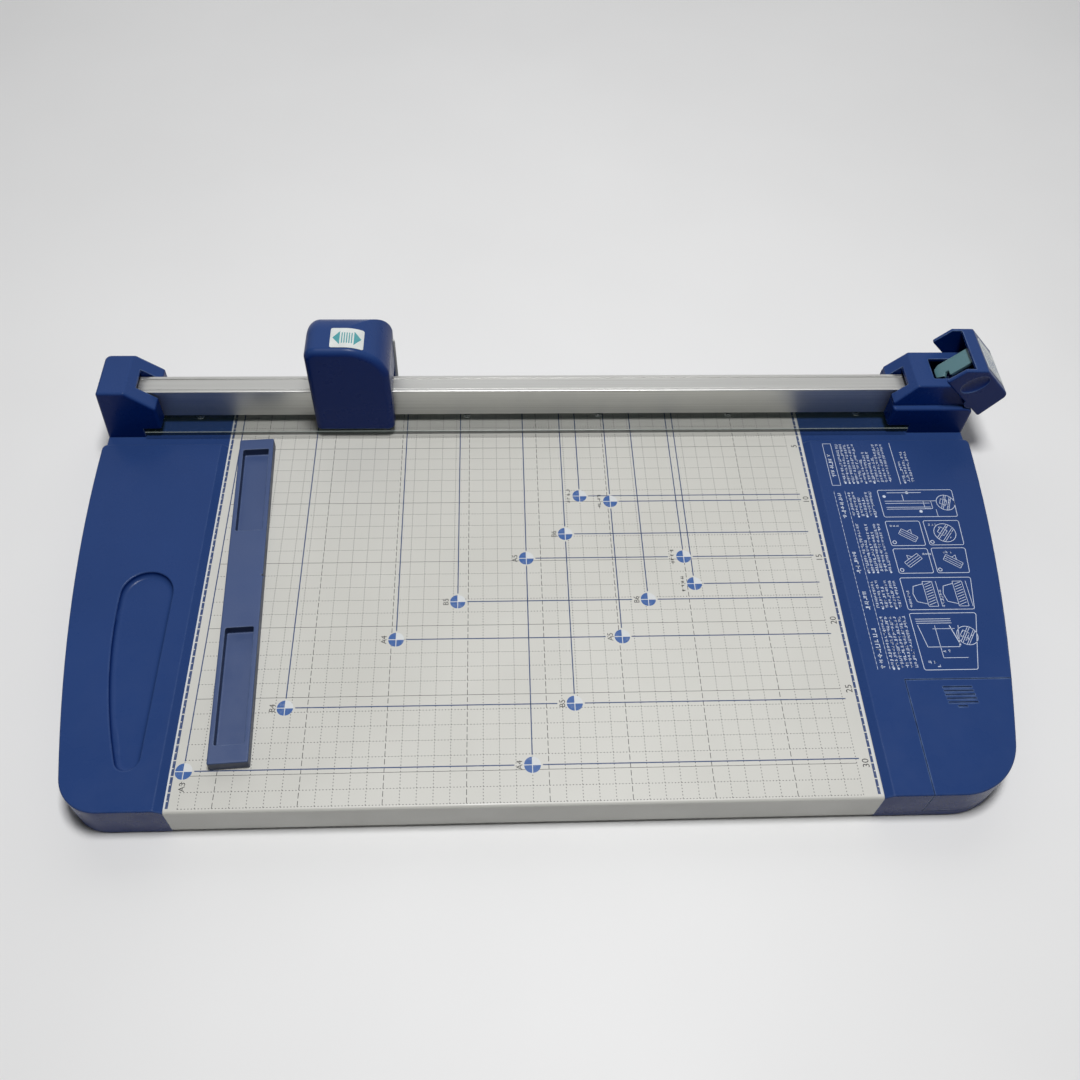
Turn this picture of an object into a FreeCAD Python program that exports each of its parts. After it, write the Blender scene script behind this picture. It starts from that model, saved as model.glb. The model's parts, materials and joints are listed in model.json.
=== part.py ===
# Rotary paper trimmer: a flat bed between two plastic end panels, with an aluminium rail across the back.
# A sliding carriage carries a round blade along the rail. A lever at the right end presses the rail and its
# clear strip down on the paper. A magnetic stop lies on the bed, and a lid covers a small spares bin.
#
# All lengths are millimetres. While the pieces are made, X = 0 is the right paper edge, Y = 0 is the line
# of cut, and Z = 0 is the bed's surface; +X is right, +Y is away from the user and +Z is up. The last step
# moves everything so that the origin is the bottom centre of the whole object's box.

import math
import os

from FreeCAD import Matrix, Placement, Rotation, Vector
import Part

# ---- driving dimensions ------------------------------------------------------------------------
ORIGIN = (-185.55, -154.25, -30.0)  # bottom centre of the object's box, in the frame used while modelling

SURFACE_HEIGHT = 30.0  # bed surface above the table
FOOT_HEIGHT = 1.5
SHELL_BOTTOM = FOOT_HEIGHT - SURFACE_HEIGHT
FRONT = -322.5  # front face of the bed and panels
TOUCH = 0.05  # play between loose neighbours

BED_LEFT = -428.3
BED_RIGHT = 2.6
BED_BACK = -4.0
BED_THICKNESS = 1.2
BED_FOLD = 2.0  # outer radius of the fold along the front
BED_HEM = 11.0

PANEL_TOP = 3.5
PANEL_BACK = -47.0
PANEL_WALL = 2.5
PANEL_SLOPE = 5.0  # width of the slope between bed and panel top
PANEL_EDGE_ROUND = 1.0
PANEL_SHOULDER_ROUND = 0.6
PANEL_BACK_CORNER = 4.0
PANEL_SIDE_RADIUS = 1200.0
LEFT_CORNER_RADIUS = 27.0
RIGHT_CORNER_RADIUS = 43.0
LEFT_BACK_CORNER = -519.5
RIGHT_BACK_CORNER = 130.0
RIGHT_SIDE_TAPER = 2.9  # degrees between the right side's back end and straight ahead

BEAM_LEFT = -518.3
BEAM_RIGHT = 128.5
BEAM_BACK = 14.0
BEAM_WALL = 3.0
CUTTING_WIDTH = 6.0
CUTTING_DEPTH = 2.2
CUTTING_LEFT = -489.0
CUTTING_RIGHT = 83.0

CLAMP_TRAVEL = 4.3  # how far the rail and clear strip go down
STRIP_LEFT = -489.0
STRIP_RIGHT = 83.5
STRIP_FRONT = -40.0
STRIP_BACK = -3.2
STRIP_BOTTOM = 4.5
STRIP_THICKNESS = 4.0
STRIP_TOP = STRIP_BOTTOM + STRIP_THICKNESS

RAIL_LEFT = -494.4
RAIL_RIGHT = 80.8
RAIL_FRONT = -23.7
RAIL_BACK = -7.8
RAIL_HEIGHT = 26.0
RAIL_WALL = 2.0
RAIL_BOTTOM = STRIP_TOP
RAIL_TOP = RAIL_BOTTOM + RAIL_HEIGHT
RAIL_MIDDLE = (RAIL_FRONT + RAIL_BACK) / 2

BLOCK_FRONT = -37.6
BLOCK_BACK = 3.5
BLOCK_WALL = 3.0
SLOT_PLAY = 1.0  # play of the rail in the blocks' slots
BLOCK_DRAFT = 2.4  # how far the blocks' fronts lean back between foot and top
LEFT_BLOCK_TOP = 46.0
LEFT_SLOT_END = -490.8  # the slot's end in the left block's top
RIGHT_BASE_TOP = 28.0
HOUSING_FRONT = -34.0
HOUSING_TOP = 47.0
RIGHT_SLOT_END = 77.9  # the slot's end in the housing's top
RIGHT_INNER = 68.0

LEVER_PIVOT = (124.5, 33.5)  # X and Z of the lever's pin
LEVER_OPEN = 48.0  # degrees from shut to fully open
PIN_RADIUS = 1.5

CARRIAGE_LEFT = -363.5
CARRIAGE_RIGHT = -305.5
CARRIAGE_MIDDLE = (CARRIAGE_LEFT + CARRIAGE_RIGHT) / 2
CARRIAGE_FRONT = -38.4
CARRIAGE_BACK = 8.0
CARRIAGE_BOTTOM = 9.5
CARRIAGE_TOP = 92.2
CARRIAGE_WALL = 2.2
BLADE_RADIUS = 14.0
BLADE_THICKNESS = 0.4
BLADE_CLEARANCE = 0.2  # blade above the cutting strip when the clamp is shut
BLADE_CENTRE = BLADE_RADIUS + CLAMP_TRAVEL + BLADE_CLEARANCE

STOP_LENGTH = 249.0
STOP_WIDTH = 24.5
STOP_TOP = 9.0
STOP_CENTRE = (-399.4, -171.7)
STOP_TURN = 3.1  # degrees, as it lies on the bed

LID_LEFT = 32.5
LID_BACK = -246.3
LID_BOTTOM = -22.0
LID_THICKNESS = 2.2
LID_GAP = 0.4

X_AXIS = Vector(1, 0, 0)
Y_AXIS = Vector(0, 1, 0)
Z_AXIS = Vector(0, 0, 1)


# ---- helpers -----------------------------------------------------------------------------------
def box(x0, x1, y0, y1, z0, z1):
    return Part.makeBox(x1 - x0, y1 - y0, z1 - z0, Vector(x0, y0, z0))


def rod(x, y, z, radius, length, axis=Z_AXIS):
    return Part.makeCylinder(radius, length, Vector(x, y, z), axis)


def rounded_edges(points, radii, lift):
    """Edges of a closed polygon whose corners are rounded; lift turns each (u, v) into a Vector."""
    count = len(points)
    corners = []
    for i in range(count):
        here = points[i]
        before = unit(points[i - 1][0] - here[0], points[i - 1][1] - here[1])
        after_point = points[(i + 1) % count]
        after = unit(after_point[0] - here[0], after_point[1] - here[1])
        radius = radii[i]
        if radius == 0:
            corners.append((here, None, here))
            continue
        half = math.acos(max(-1.0, min(1.0, before[0] * after[0] + before[1] * after[1]))) / 2
        reach = radius / math.tan(half)
        middle = unit(before[0] + after[0], before[1] + after[1])
        depth = radius / math.sin(half) - radius
        corners.append(
            (
                (here[0] + before[0] * reach, here[1] + before[1] * reach),
                (here[0] + middle[0] * depth, here[1] + middle[1] * depth),
                (here[0] + after[0] * reach, here[1] + after[1] * reach),
            )
        )
    edges = []
    for i in range(count):
        start, middle, end = corners[i]
        if middle is not None:
            edges.append(Part.Arc(lift(*start), lift(*middle), lift(*end)).toShape())
        following = corners[(i + 1) % count][0]
        if math.dist(end, following) > 1e-6:
            edges.append(Part.makeLine(lift(*end), lift(*following)))
    return edges


def unit(u, v):
    length = math.hypot(u, v)
    return (u / length, v / length)


def prism_xz(points, y0, y1, radii=None):
    """Solid with an outline in X and Z, from y0 to y1."""
    radii = radii or [0] * len(points)
    edges = rounded_edges(points, radii, lambda u, v: Vector(u, y0, v))
    return Part.Face(Part.Wire(edges)).extrude(Vector(0, y1 - y0, 0))


def prism_yz(points, x0, x1, radii=None):
    """Solid with an outline in Y and Z, from x0 to x1."""
    radii = radii or [0] * len(points)
    edges = rounded_edges(points, radii, lambda u, v: Vector(x0, u, v))
    return Part.Face(Part.Wire(edges)).extrude(Vector(x1 - x0, 0, 0))


def prism_xy(points, z0, z1, radii=None):
    """Solid with an outline in X and Y, from z0 to z1."""
    radii = radii or [0] * len(points)
    edges = rounded_edges(points, radii, lambda u, v: Vector(u, v, z0))
    return Part.Face(Part.Wire(edges)).extrude(Vector(0, 0, z1 - z0))


def fillet(shape, radius, wanted):
    """The shape with every edge that wanted() accepts rounded."""
    edges = [edge for edge in shape.Edges if wanted(edge.BoundBox)]
    return shape.makeFillet(radius, edges)


def near(a, b, tolerance=0.02):
    return abs(a - b) < tolerance


def flat_at_z(level):
    return lambda b: near(b.ZMin, level) and near(b.ZMax, level)


def group(solids):
    return Part.makeCompound(solids)


def screw(x, y, z, head_radius, head_height, shank_radius, shank_length, up=True):
    """Pan-head screw with a cross recess. z is the seat under the head; the shank points up or down."""
    head = rod(x, y, z - head_height, head_radius, head_height)
    head = fillet(head, head_height * 0.45, flat_at_z(z - head_height))
    arm = head_radius * 0.55
    bar = head_radius * 0.16
    deep = head_height * 0.5
    low = z - head_height
    head = head.cut(box(x - arm, x + arm, y - bar, y + bar, low - 1, low + deep))
    head = head.cut(box(x - bar, x + bar, y - arm, y + arm, low - 1, low + deep))
    solid = head.fuse(rod(x, y, z, shank_radius, shank_length)).removeSplitter()
    if not up:
        solid.rotate(Vector(x, y, z), X_AXIS, 180)
    return solid


def coil_spring(x, y, z, radius, wire, height, turns):
    """Compression spring standing on z, made of one wire swept along a helix."""
    rise = height - wire
    helix = Part.makeHelix(rise / turns, rise, radius)
    helix.translate(Vector(0, 0, wire / 2))
    section = Part.Wire(Part.makeCircle(wire / 2, Vector(radius, 0, wire / 2), Y_AXIS))
    spring = Part.Wire(helix).makePipeShell([section], True, True)
    spring.translate(Vector(x, y, z))
    return spring


def panel_outline(side, inset=0.0):
    """Closed outline of an end panel, seen from above, with its free edges drawn in by inset.

    side is -1 for the left panel and +1 for the right one. The outer side is a shallow arc that runs into a
    round front corner. The edge beside the bed is straight."""
    taper = math.radians(RIGHT_SIDE_TAPER if side > 0 else 0.0)
    corner_x = RIGHT_BACK_CORNER if side > 0 else LEFT_BACK_CORNER
    inner = (BED_RIGHT if side > 0 else BED_LEFT) + side * inset
    back = PANEL_BACK - inset
    front = FRONT + inset
    big = PANEL_SIDE_RADIUS - inset
    small = (RIGHT_CORNER_RADIUS if side > 0 else LEFT_CORNER_RADIUS) - inset
    centre_x = corner_x - side * PANEL_SIDE_RADIUS * math.cos(taper)
    centre_y = PANEL_BACK + PANEL_SIDE_RADIUS * math.sin(taper)
    corner_y = front + small
    corner_x = centre_x + side * math.sqrt((big - small) ** 2 - (corner_y - centre_y) ** 2)

    def on_side(y):
        return (centre_x + side * math.sqrt(big**2 - (y - centre_y) ** 2), y)

    reach = big / (big - small)
    meet = (centre_x + (corner_x - centre_x) * reach, centre_y + (corner_y - centre_y) * reach)
    outward = unit(meet[0] - corner_x, meet[1] - corner_y)
    halfway = unit(outward[0], outward[1] - 1.0)
    bulge = (corner_x + small * halfway[0], corner_y + small * halfway[1])
    start = on_side(back)
    return {
        "inner": inner,
        "back": back,
        "front": front,
        "start": start,
        "side": on_side((back + meet[1]) / 2),
        "meet": meet,
        "bulge": bulge,
        "end": (corner_x, front),
    }


def panel_solid(side, inset, z0, z1):
    """The panel outline raised from z0 to z1."""
    o = panel_outline(side, inset)

    def at(point):
        return Vector(point[0], point[1], z0)

    edges = [
        Part.makeLine(at((o["inner"], o["back"])), at(o["start"])),
        Part.Arc(at(o["start"]), at(o["side"]), at(o["meet"])).toShape(),
        Part.Arc(at(o["meet"]), at(o["bulge"]), at(o["end"])).toShape(),
        Part.makeLine(at(o["end"]), at((o["inner"], o["front"]))),
        Part.makeLine(at((o["inner"], o["front"])), at((o["inner"], o["back"]))),
    ]
    return Part.Face(Part.Wire(edges)).extrude(Vector(0, 0, z1 - z0))


# ---- base: bed, panels, beam -------------------------------------------------------------------
def bed_plate():
    """Steel bed: flat top, rounded fold along the front, and a hem turned in at the bottom."""
    low = SHELL_BOTTOM + 0.5
    inner = BED_FOLD - BED_THICKNESS
    outer = [(BED_BACK, 0), (FRONT, 0), (FRONT, low), (FRONT + BED_HEM, low)]
    hem_top = low + BED_THICKNESS
    under = [
        (FRONT + BED_HEM, hem_top),
        (FRONT + BED_THICKNESS, hem_top),
        (FRONT + BED_THICKNESS, -BED_THICKNESS),
        (BED_BACK, -BED_THICKNESS),
    ]
    radii = [0, BED_FOLD, 2.0, 0, 0, 0.8, inner, 0]
    return prism_yz(outer + under, BED_LEFT, BED_RIGHT, radii)


FRONT_CROSS_RAIL = {"left": -440.0, "right": 27.5, "y": -262.0}
REAR_CROSS_RAIL = {"left": -492.0, "right": 84.0, "y": -112.0}
CROSS_WIDTH = 26.0
CROSS_GAUGE = 1.5
CROSS_BOTTOM = -25.5
BOSS_RADIUS = 4.0
BOSS_HOLE = 1.3
COVER_SCREW_LENGTH = 8.0
COVER_THICKNESS = 2.0
COVER_HOLE = 1.8
LEFT_BOSSES = [(-500.0, -66.0), (-452.0, -66.0), (-488.0, -220.0), (-442.0, -305.0)]
RIGHT_BOSSES = [(18.0, -66.0), (112.0, -66.0), (100.0, -222.0), (18.0, -305.0)]


def bosses(places, top):
    """Screw pillars that stand on a panel's base cover."""
    bottom = SHELL_BOTTOM + 2.0
    pillars = []
    for x, y in places:
        pillars.append(rod(x, y, bottom, BOSS_RADIUS, top - bottom))
    return pillars


def panel_shell(side):
    """End panel without its own features: an open shell with a slope beside the bed."""
    outer = panel_solid(side, 0.0, SHELL_BOTTOM, PANEL_TOP)
    corner = panel_outline(side)["start"][0]
    outer = fillet(outer, PANEL_BACK_CORNER, lambda b: near(b.XMin, corner) and near(b.XMax, corner))
    inner = BED_RIGHT if side > 0 else BED_LEFT
    slope = [(inner, 0), (inner + side * PANEL_SLOPE, PANEL_TOP + 0.001), (inner, PANEL_TOP + 0.001)]
    outer = outer.cut(prism_xz(slope, FRONT - 1, PANEL_BACK + 1))
    shoulder = inner + side * PANEL_SLOPE

    def outer_rim(b):
        beside_bed = near(b.XMin, shoulder) and near(b.XMax, shoulder)
        return near(b.ZMin, PANEL_TOP) and near(b.ZMax, PANEL_TOP) and not beside_bed

    def shoulder_edge(b):
        return near(b.XMin, shoulder) and near(b.XMax, shoulder) and near(b.ZMin, b.ZMax)

    outer = fillet(outer, PANEL_EDGE_ROUND, outer_rim)
    outer = fillet(outer, PANEL_SHOULDER_ROUND, shoulder_edge)
    hollow = panel_solid(side, PANEL_WALL, SHELL_BOTTOM - 1, PANEL_TOP - PANEL_WALL)
    slope_inside = prism_xz(
        [
            (inner, -PANEL_WALL - 0.6),
            (inner + side * (PANEL_SLOPE + 0.6), PANEL_TOP - PANEL_WALL),
            (inner, PANEL_TOP),
        ],
        FRONT - 1,
        PANEL_BACK + 1,
    )
    shell = outer.cut(hollow.cut(slope_inside))
    for cross in (FRONT_CROSS_RAIL, REAR_CROSS_RAIL):
        half = CROSS_WIDTH / 2 + 0.5
        ends = (cross["y"] - half, cross["y"] + half)
        shell = shell.cut(box(inner - 4, inner + 4, *ends, SHELL_BOTTOM - 1, -BED_THICKNESS))
    return shell


HAND_REST_DEPTH = 4.5
HAND_REST_FOOT_RADIUS = 3.4
HAND_REST_RIM_RADIUS = 0.9


def hand_rest_outline(grow):
    """Tear-shaped outline of the hand rest: straight beside the bed, curved on the outer side."""
    back_centre = (-464.0, -175.0)
    back_radius = 17.2 + grow
    front_centre = (-454.2, -289.5)
    front_radius = 7.6 + grow
    right = back_centre[0] + back_radius
    front_right = front_centre[0] + front_radius
    left = (back_centre[0] - back_radius, back_centre[1])
    waist = (-477.2 - grow, -228.0)
    front_left = (front_centre[0] - front_radius * 0.943, front_centre[1] - front_radius * 0.332)

    def at(point):
        return Vector(point[0], point[1], 0)

    top = (back_centre[0], back_centre[1] + back_radius)
    return [
        Part.Arc(at((right, back_centre[1])), at(top), at(left)).toShape(),
        Part.Arc(at(left), at(waist), at(front_left)).toShape(),
        Part.Arc(
            at(front_left),
            at((front_centre[0] + front_radius * 0.2, front_centre[1] - front_radius * 0.98)),
            at((front_right, front_centre[1])),
        ).toShape(),
        Part.makeLine(at((front_right, front_centre[1])), at((right, back_centre[1]))),
    ]


def hand_rest(grow, z0, z1):
    face = Part.Face(Part.Wire(hand_rest_outline(grow)))
    face.translate(Vector(0, 0, z0))
    return face.extrude(Vector(0, 0, z1 - z0))


def left_panel():
    """Left end panel with the hand rest sunk into its top."""
    shell = panel_shell(-1)
    dish_floor = PANEL_TOP - HAND_REST_DEPTH
    for pillar in bosses(LEFT_BOSSES, PANEL_TOP - PANEL_WALL):
        shell = shell.fuse(pillar)
    shell = shell.fuse(hand_rest(2.2, dish_floor - 2.0, PANEL_TOP - PANEL_WALL + 0.4))
    dish = hand_rest(0.0, dish_floor, PANEL_TOP + 2)
    dish = fillet(dish, HAND_REST_FOOT_RADIUS, flat_at_z(dish_floor))
    shell = shell.cut(dish)
    for x, y in LEFT_BOSSES:
        shell = shell.cut(rod(x, y, SHELL_BOTTOM, BOSS_HOLE, 20.0))
    shell = fillet(shell, HAND_REST_RIM_RADIUS, hand_rest_rim)
    return shell.removeSplitter()


def hand_rest_rim(b):
    """True for the edges where the hand rest meets the panel's top."""
    return flat_at_z(PANEL_TOP)(b) and b.YMin > -300 and b.YMax < -155 and b.XMax < -440


def bin_region(grow):
    """Space of the spares bin in the right panel, under the lid."""
    outside = panel_solid(1, 0.0, LID_BOTTOM - grow, PANEL_TOP + 5)
    return outside.common(
        box(LID_LEFT - grow, 200, FRONT - 10, LID_BACK + grow, LID_BOTTOM - grow, PANEL_TOP + 5)
    )


BIN_WALL = 2.0
BIN_FLOOR = -24.0


def right_panel():
    """Right end panel with an open-topped spares bin at its front corner."""
    shell = panel_shell(1)
    for pillar in bosses(RIGHT_BOSSES, PANEL_TOP - PANEL_WALL):
        shell = shell.fuse(pillar)
    shell = shell.cut(bin_region(LID_GAP))
    tub = panel_solid(1, PANEL_WALL - 0.4, BIN_FLOOR, PANEL_TOP - LID_THICKNESS - 0.2)
    left = LID_LEFT - 2.5
    back = LID_BACK + 2.5
    tub = tub.common(box(left, 200, FRONT - 10, back, BIN_FLOOR, 10))
    tub = tub.cut(
        panel_solid(1, PANEL_WALL + 2.2, BIN_FLOOR + BIN_WALL, 10).common(
            box(left + BIN_WALL + 2.2, 200, FRONT - 10, back - BIN_WALL - 2.2, BIN_FLOOR + BIN_WALL, 10)
        )
    )
    clear_of_lid = panel_solid(1, LID_THICKNESS + 0.3, LID_BOTTOM - 0.3, PANEL_TOP + 1)
    rim = bin_region(LID_GAP).cut(clear_of_lid)
    shell = shell.fuse(tub.cut(rim))
    for x, y in RIGHT_BOSSES:
        shell = shell.cut(rod(x, y, SHELL_BOTTOM, BOSS_HOLE, 20.0))
    return shell.removeSplitter()


LID_GROOVE_BACK = -251.9
LID_GROOVE_PITCH = 2.65
LID_GROOVES = [(55.6 + 0.3 * i, 74.8 + 0.3 * i) for i in range(5)] + [(62.4, 68.4)]  # left and right ends
LID_GROOVE_HALF = 0.55
LID_GROOVE_DEPTH = 1.1


def storage_lid():
    """Lid of the spares bin: it wraps over the top, front and side, and slides off towards the user."""
    outer = panel_solid(1, 0.0, LID_BOTTOM, PANEL_TOP)
    outer = fillet(outer, PANEL_EDGE_ROUND, flat_at_z(PANEL_TOP))
    outer = outer.common(box(LID_LEFT, 200, FRONT - 10, LID_BACK, LID_BOTTOM, PANEL_TOP + 1))
    inside = panel_solid(1, LID_THICKNESS, LID_BOTTOM - 1, PANEL_TOP - LID_THICKNESS)
    inside = inside.common(box(LID_LEFT - 5, 200, FRONT - 10, LID_BACK + 5, LID_BOTTOM - 1, 10))
    lid = outer.cut(inside)
    for i, (start, end) in enumerate(LID_GROOVES):
        y = LID_GROOVE_BACK - i * LID_GROOVE_PITCH
        lid = lid.cut(
            box(start, end, y - LID_GROOVE_HALF, y + LID_GROOVE_HALF, PANEL_TOP - LID_GROOVE_DEPTH, 10)
        )
    return lid.removeSplitter()


SPRING_X = (-483.0, 81.0)
SPRING_POCKET = 4.6
SPRING_DEPTH = 10.0
BEAM_BOSSES = [(-470.0, -36.0), (-213.0, 7.0), (-213.0, -36.0), (62.0, -36.0), (-470.0, 7.0), (62.0, 7.0)]
LEFT_BLOCK_SCREWS = [(-505.0, -29.0), (-505.0, -5.0)]
RIGHT_BLOCK_SCREWS = [(118.5, -28.0), (118.5, -2.5)]
BLOCK_SCREW_HEAD = 3.6


def rear_beam():
    """Beam under the rail: it carries the blocks, the cutting strip and the bed's back edge."""
    beam = box(BEAM_LEFT, BEAM_RIGHT, PANEL_BACK, BEAM_BACK, SHELL_BOTTOM, 0)
    beam = fillet(beam, 3.0, lambda b: near(b.XMin, b.XMax) and near(b.YMin, b.YMax) and b.YMin > 0)
    beam = fillet(beam, 1.5, lambda b: flat_at_z(0)(b) and b.YMax > PANEL_BACK + 1)
    inside = (BEAM_LEFT + BEAM_WALL, BEAM_RIGHT - BEAM_WALL, PANEL_BACK + BEAM_WALL, BEAM_BACK - BEAM_WALL)
    beam = beam.cut(box(*inside, SHELL_BOTTOM - 1, -BEAM_WALL))
    half = CUTTING_WIDTH / 2
    beam = beam.fuse(box(inside[0], inside[1], -half - 3, half + 3, -8, -BEAM_WALL))
    for x in SPRING_X:
        beam = beam.fuse(rod(x, RAIL_MIDDLE, -SPRING_DEPTH - 3, SPRING_POCKET + 3, SPRING_DEPTH + 1))
    for x, y in BEAM_BOSSES:
        beam = beam.fuse(rod(x, y, SHELL_BOTTOM + 2, BOSS_RADIUS, -SHELL_BOTTOM - 2 - BEAM_WALL))
    for x in SPRING_X:
        beam = beam.cut(rod(x, RAIL_MIDDLE, -SPRING_DEPTH, SPRING_POCKET, SPRING_DEPTH + 1))
    beam = beam.cut(
        box(BED_LEFT - TOUCH, BED_RIGHT + TOUCH, PANEL_BACK - 1, BED_BACK + TOUCH, -BED_THICKNESS, 1)
    )
    beam = beam.cut(box(CUTTING_LEFT - 0.2, CUTTING_RIGHT + 0.2, -half, half, -CUTTING_DEPTH, 1))
    for x, y in BEAM_BOSSES:
        beam = beam.cut(rod(x, y, SHELL_BOTTOM, BOSS_HOLE, 20.0))
    for x, y in LEFT_BLOCK_SCREWS + RIGHT_BLOCK_SCREWS:
        beam = beam.cut(rod(x, y, -BEAM_WALL - 1, 2.0, BEAM_WALL + 2))
        beam = beam.cut(rod(x, y, -BEAM_WALL - 6, BLOCK_SCREW_HEAD + 0.6, 6))
    return beam.removeSplitter()



def cutting_strip():
    """Plastic strip under the blade."""
    half = CUTTING_WIDTH / 2
    strip = box(CUTTING_LEFT, CUTTING_RIGHT, -half + TOUCH, half - TOUCH, -CUTTING_DEPTH, 0)
    return strip.cut(box(CUTTING_LEFT - 1, CUTTING_RIGHT + 1, -0.25, 0.25, -0.3, 1))


def cross_rail(place):
    """Steel channel under the bed; it ties the two panels together."""
    half = CROSS_WIDTH / 2
    top = -BED_THICKNESS
    front = place["y"] - half
    back = place["y"] + half
    channel = box(place["left"], place["right"], front, back, CROSS_BOTTOM, top)
    hollow = (front + CROSS_GAUGE, back - CROSS_GAUGE, CROSS_BOTTOM - 1, top - CROSS_GAUGE)
    return channel.cut(box(place["left"] - 1, place["right"] + 1, *hollow))


def panel_cover(side, places):
    """Plate that closes a panel from below and lets the cross rails through above it."""
    gap = PANEL_WALL + 0.3
    plate = panel_solid(side, gap, SHELL_BOTTOM, SHELL_BOTTOM + COVER_THICKNESS)
    for x, y in places:
        plate = plate.cut(rod(x, y, SHELL_BOTTOM - 1, COVER_HOLE, COVER_THICKNESS + 2))
    return plate


def beam_cover():
    """Plate that closes the beam from below."""
    gap = BEAM_WALL + 0.3
    plate = box(
        BEAM_LEFT + gap,
        BEAM_RIGHT - gap,
        PANEL_BACK + gap,
        BEAM_BACK - gap,
        SHELL_BOTTOM,
        SHELL_BOTTOM + COVER_THICKNESS,
    )
    for x, y in BEAM_BOSSES:
        plate = plate.cut(rod(x, y, SHELL_BOTTOM - 1, COVER_HOLE, COVER_THICKNESS + 2))
    return plate


def cover_screws():
    """Screws that hold the three bottom covers."""
    screws = []
    for x, y in LEFT_BOSSES + RIGHT_BOSSES + BEAM_BOSSES:
        screws.append(screw(x, y, SHELL_BOTTOM, 3.2, 1.2, BOSS_HOLE, COVER_SCREW_LENGTH))
    return group(screws)


FEET = [(-478.0, -282.0), (-445.0, -85.0), (62.0, -290.0), (60.0, -85.0), (-498.0, -12.0), (108.0, -12.0)]
FOOT_RADIUS = 8.0


def rubber_feet():
    """Round feet stuck to the bottom covers."""
    feet = []
    for x, y in FEET:
        foot = rod(x, y, -SURFACE_HEIGHT, FOOT_RADIUS, FOOT_HEIGHT)
        feet.append(fillet(foot, 0.6, flat_at_z(-SURFACE_HEIGHT)))
    return group(feet)


# ---- blocks at the rail's ends -----------------------------------------------------------------
SLOT_FRONT = RAIL_FRONT - SLOT_PLAY
SLOT_BACK = RAIL_BACK + SLOT_PLAY
FLANGE_FRONT = -29.5
FLANGE_BACK = -2.5
FLANGE_THICKNESS = 3.5
FLANGE_BOTTOM = STRIP_TOP + 0.3
STRIP_SLOT_TOP = STRIP_TOP + 0.8
LEFT_CAVITY_TOP = RAIL_TOP + 4.5
LEFT_BLOCK_CORNER = 4.5
RIGHT_CAVITY = RAIL_RIGHT - 0.4
CAVITY_END = 121.5
HOUSING_CAVITY_TOP = RAIL_TOP + 4.5
WINDOW_LEFT = 96.0
WINDOW_RIGHT = 119.5


def strip_slot(x0, x1):
    """Room for the clear strip to pass under a block's inner edge and to move up and down."""
    return box(x0, x1, STRIP_FRONT - 2, STRIP_BACK + 1, -1, STRIP_SLOT_TOP)


def leaning_front(y_foot, foot, top, x0, x1):
    """Room behind a block's front face, which leans back towards the top."""
    outline = [(y_foot, foot), (BLOCK_BACK, foot), (BLOCK_BACK, top), (y_foot + BLOCK_DRAFT, top)]
    return prism_yz(outline, x0, x1)


def left_block():
    """Block that guides the rail's left end: a shell with a chamfered, slotted inner side."""
    outline = [(-518.3, 0), (-516.4, LEFT_BLOCK_TOP), (-496.6, LEFT_BLOCK_TOP), (-477.4, 29.5), (-477.4, 0)]
    solid = prism_xz(outline, BLOCK_FRONT, BLOCK_BACK)
    solid = solid.common(leaning_front(BLOCK_FRONT, 0, LEFT_BLOCK_TOP, -530, -470))

    def back_corner(b):
        return near(b.YMin, BLOCK_BACK) and b.XMax < -516 and b.ZMax > 1

    def top_edges(b):
        return b.ZMax > 29 and near(b.XMin, b.XMax) and b.YMax - b.YMin > 30

    def front_edges(b):
        return b.YMax < BLOCK_FRONT + BLOCK_DRAFT + 0.1 and b.ZMax > 1

    solid = fillet(solid, LEFT_BLOCK_CORNER, back_corner)
    solid = fillet(solid, 2.2, top_edges)
    solid = fillet(solid, 1.8, front_edges)
    cavity_right = RAIL_LEFT + 0.4
    solid = solid.cut(
        box(-512.5, cavity_right, BLOCK_FRONT + 5.5, BLOCK_BACK - BLOCK_WALL, -1, LEFT_CAVITY_TOP)
    )
    solid = solid.cut(box(LEFT_SLOT_END, -470, SLOT_FRONT, SLOT_BACK, -1, 60))
    solid = solid.cut(box(RAIL_LEFT - 1.6, -470, SLOT_FRONT, SLOT_BACK, -1, LEFT_CAVITY_TOP))
    solid = solid.cut(strip_slot(STRIP_LEFT - 1.5, -470))
    for x, y in LEFT_BLOCK_SCREWS:
        solid = solid.fuse(rod(x, y, 0, BOSS_RADIUS, LEFT_CAVITY_TOP + 0.5))
        solid = solid.cut(rod(x, y, -1, BOSS_HOLE, 16.0))
    return solid.removeSplitter()


def right_block_base():
    """Lower half of the right block: an open frame with a rounded ledge along its front."""
    outline = [(RIGHT_INNER, 0), (RIGHT_INNER, RIGHT_BASE_TOP), (129.0, RIGHT_BASE_TOP), (129.0, 0)]
    solid = prism_xz(outline, BLOCK_FRONT, BLOCK_BACK, [0, 1.5, 6.0, 0])

    def front_edges(b):
        return near(b.YMin, BLOCK_FRONT) and near(b.YMax, BLOCK_FRONT) and b.ZMax > 1

    solid = fillet(solid, 2.2, front_edges)
    cavity = (HOUSING_FRONT + BLOCK_WALL, BLOCK_BACK - BLOCK_WALL)
    solid = solid.cut(box(RIGHT_CAVITY, CAVITY_END, *cavity, -1, RIGHT_BASE_TOP + 1))
    solid = solid.cut(box(60, RAIL_RIGHT + 1.4, SLOT_FRONT, SLOT_BACK, -1, 60))
    solid = solid.cut(strip_slot(60, STRIP_RIGHT + 1.5))
    for x, y in RIGHT_BLOCK_SCREWS:
        solid = solid.fuse(rod(x, y, 0, BOSS_RADIUS, 22.0))
        solid = solid.cut(rod(x, y, -1, BOSS_HOLE, 16.0))
    return solid.removeSplitter()


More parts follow.
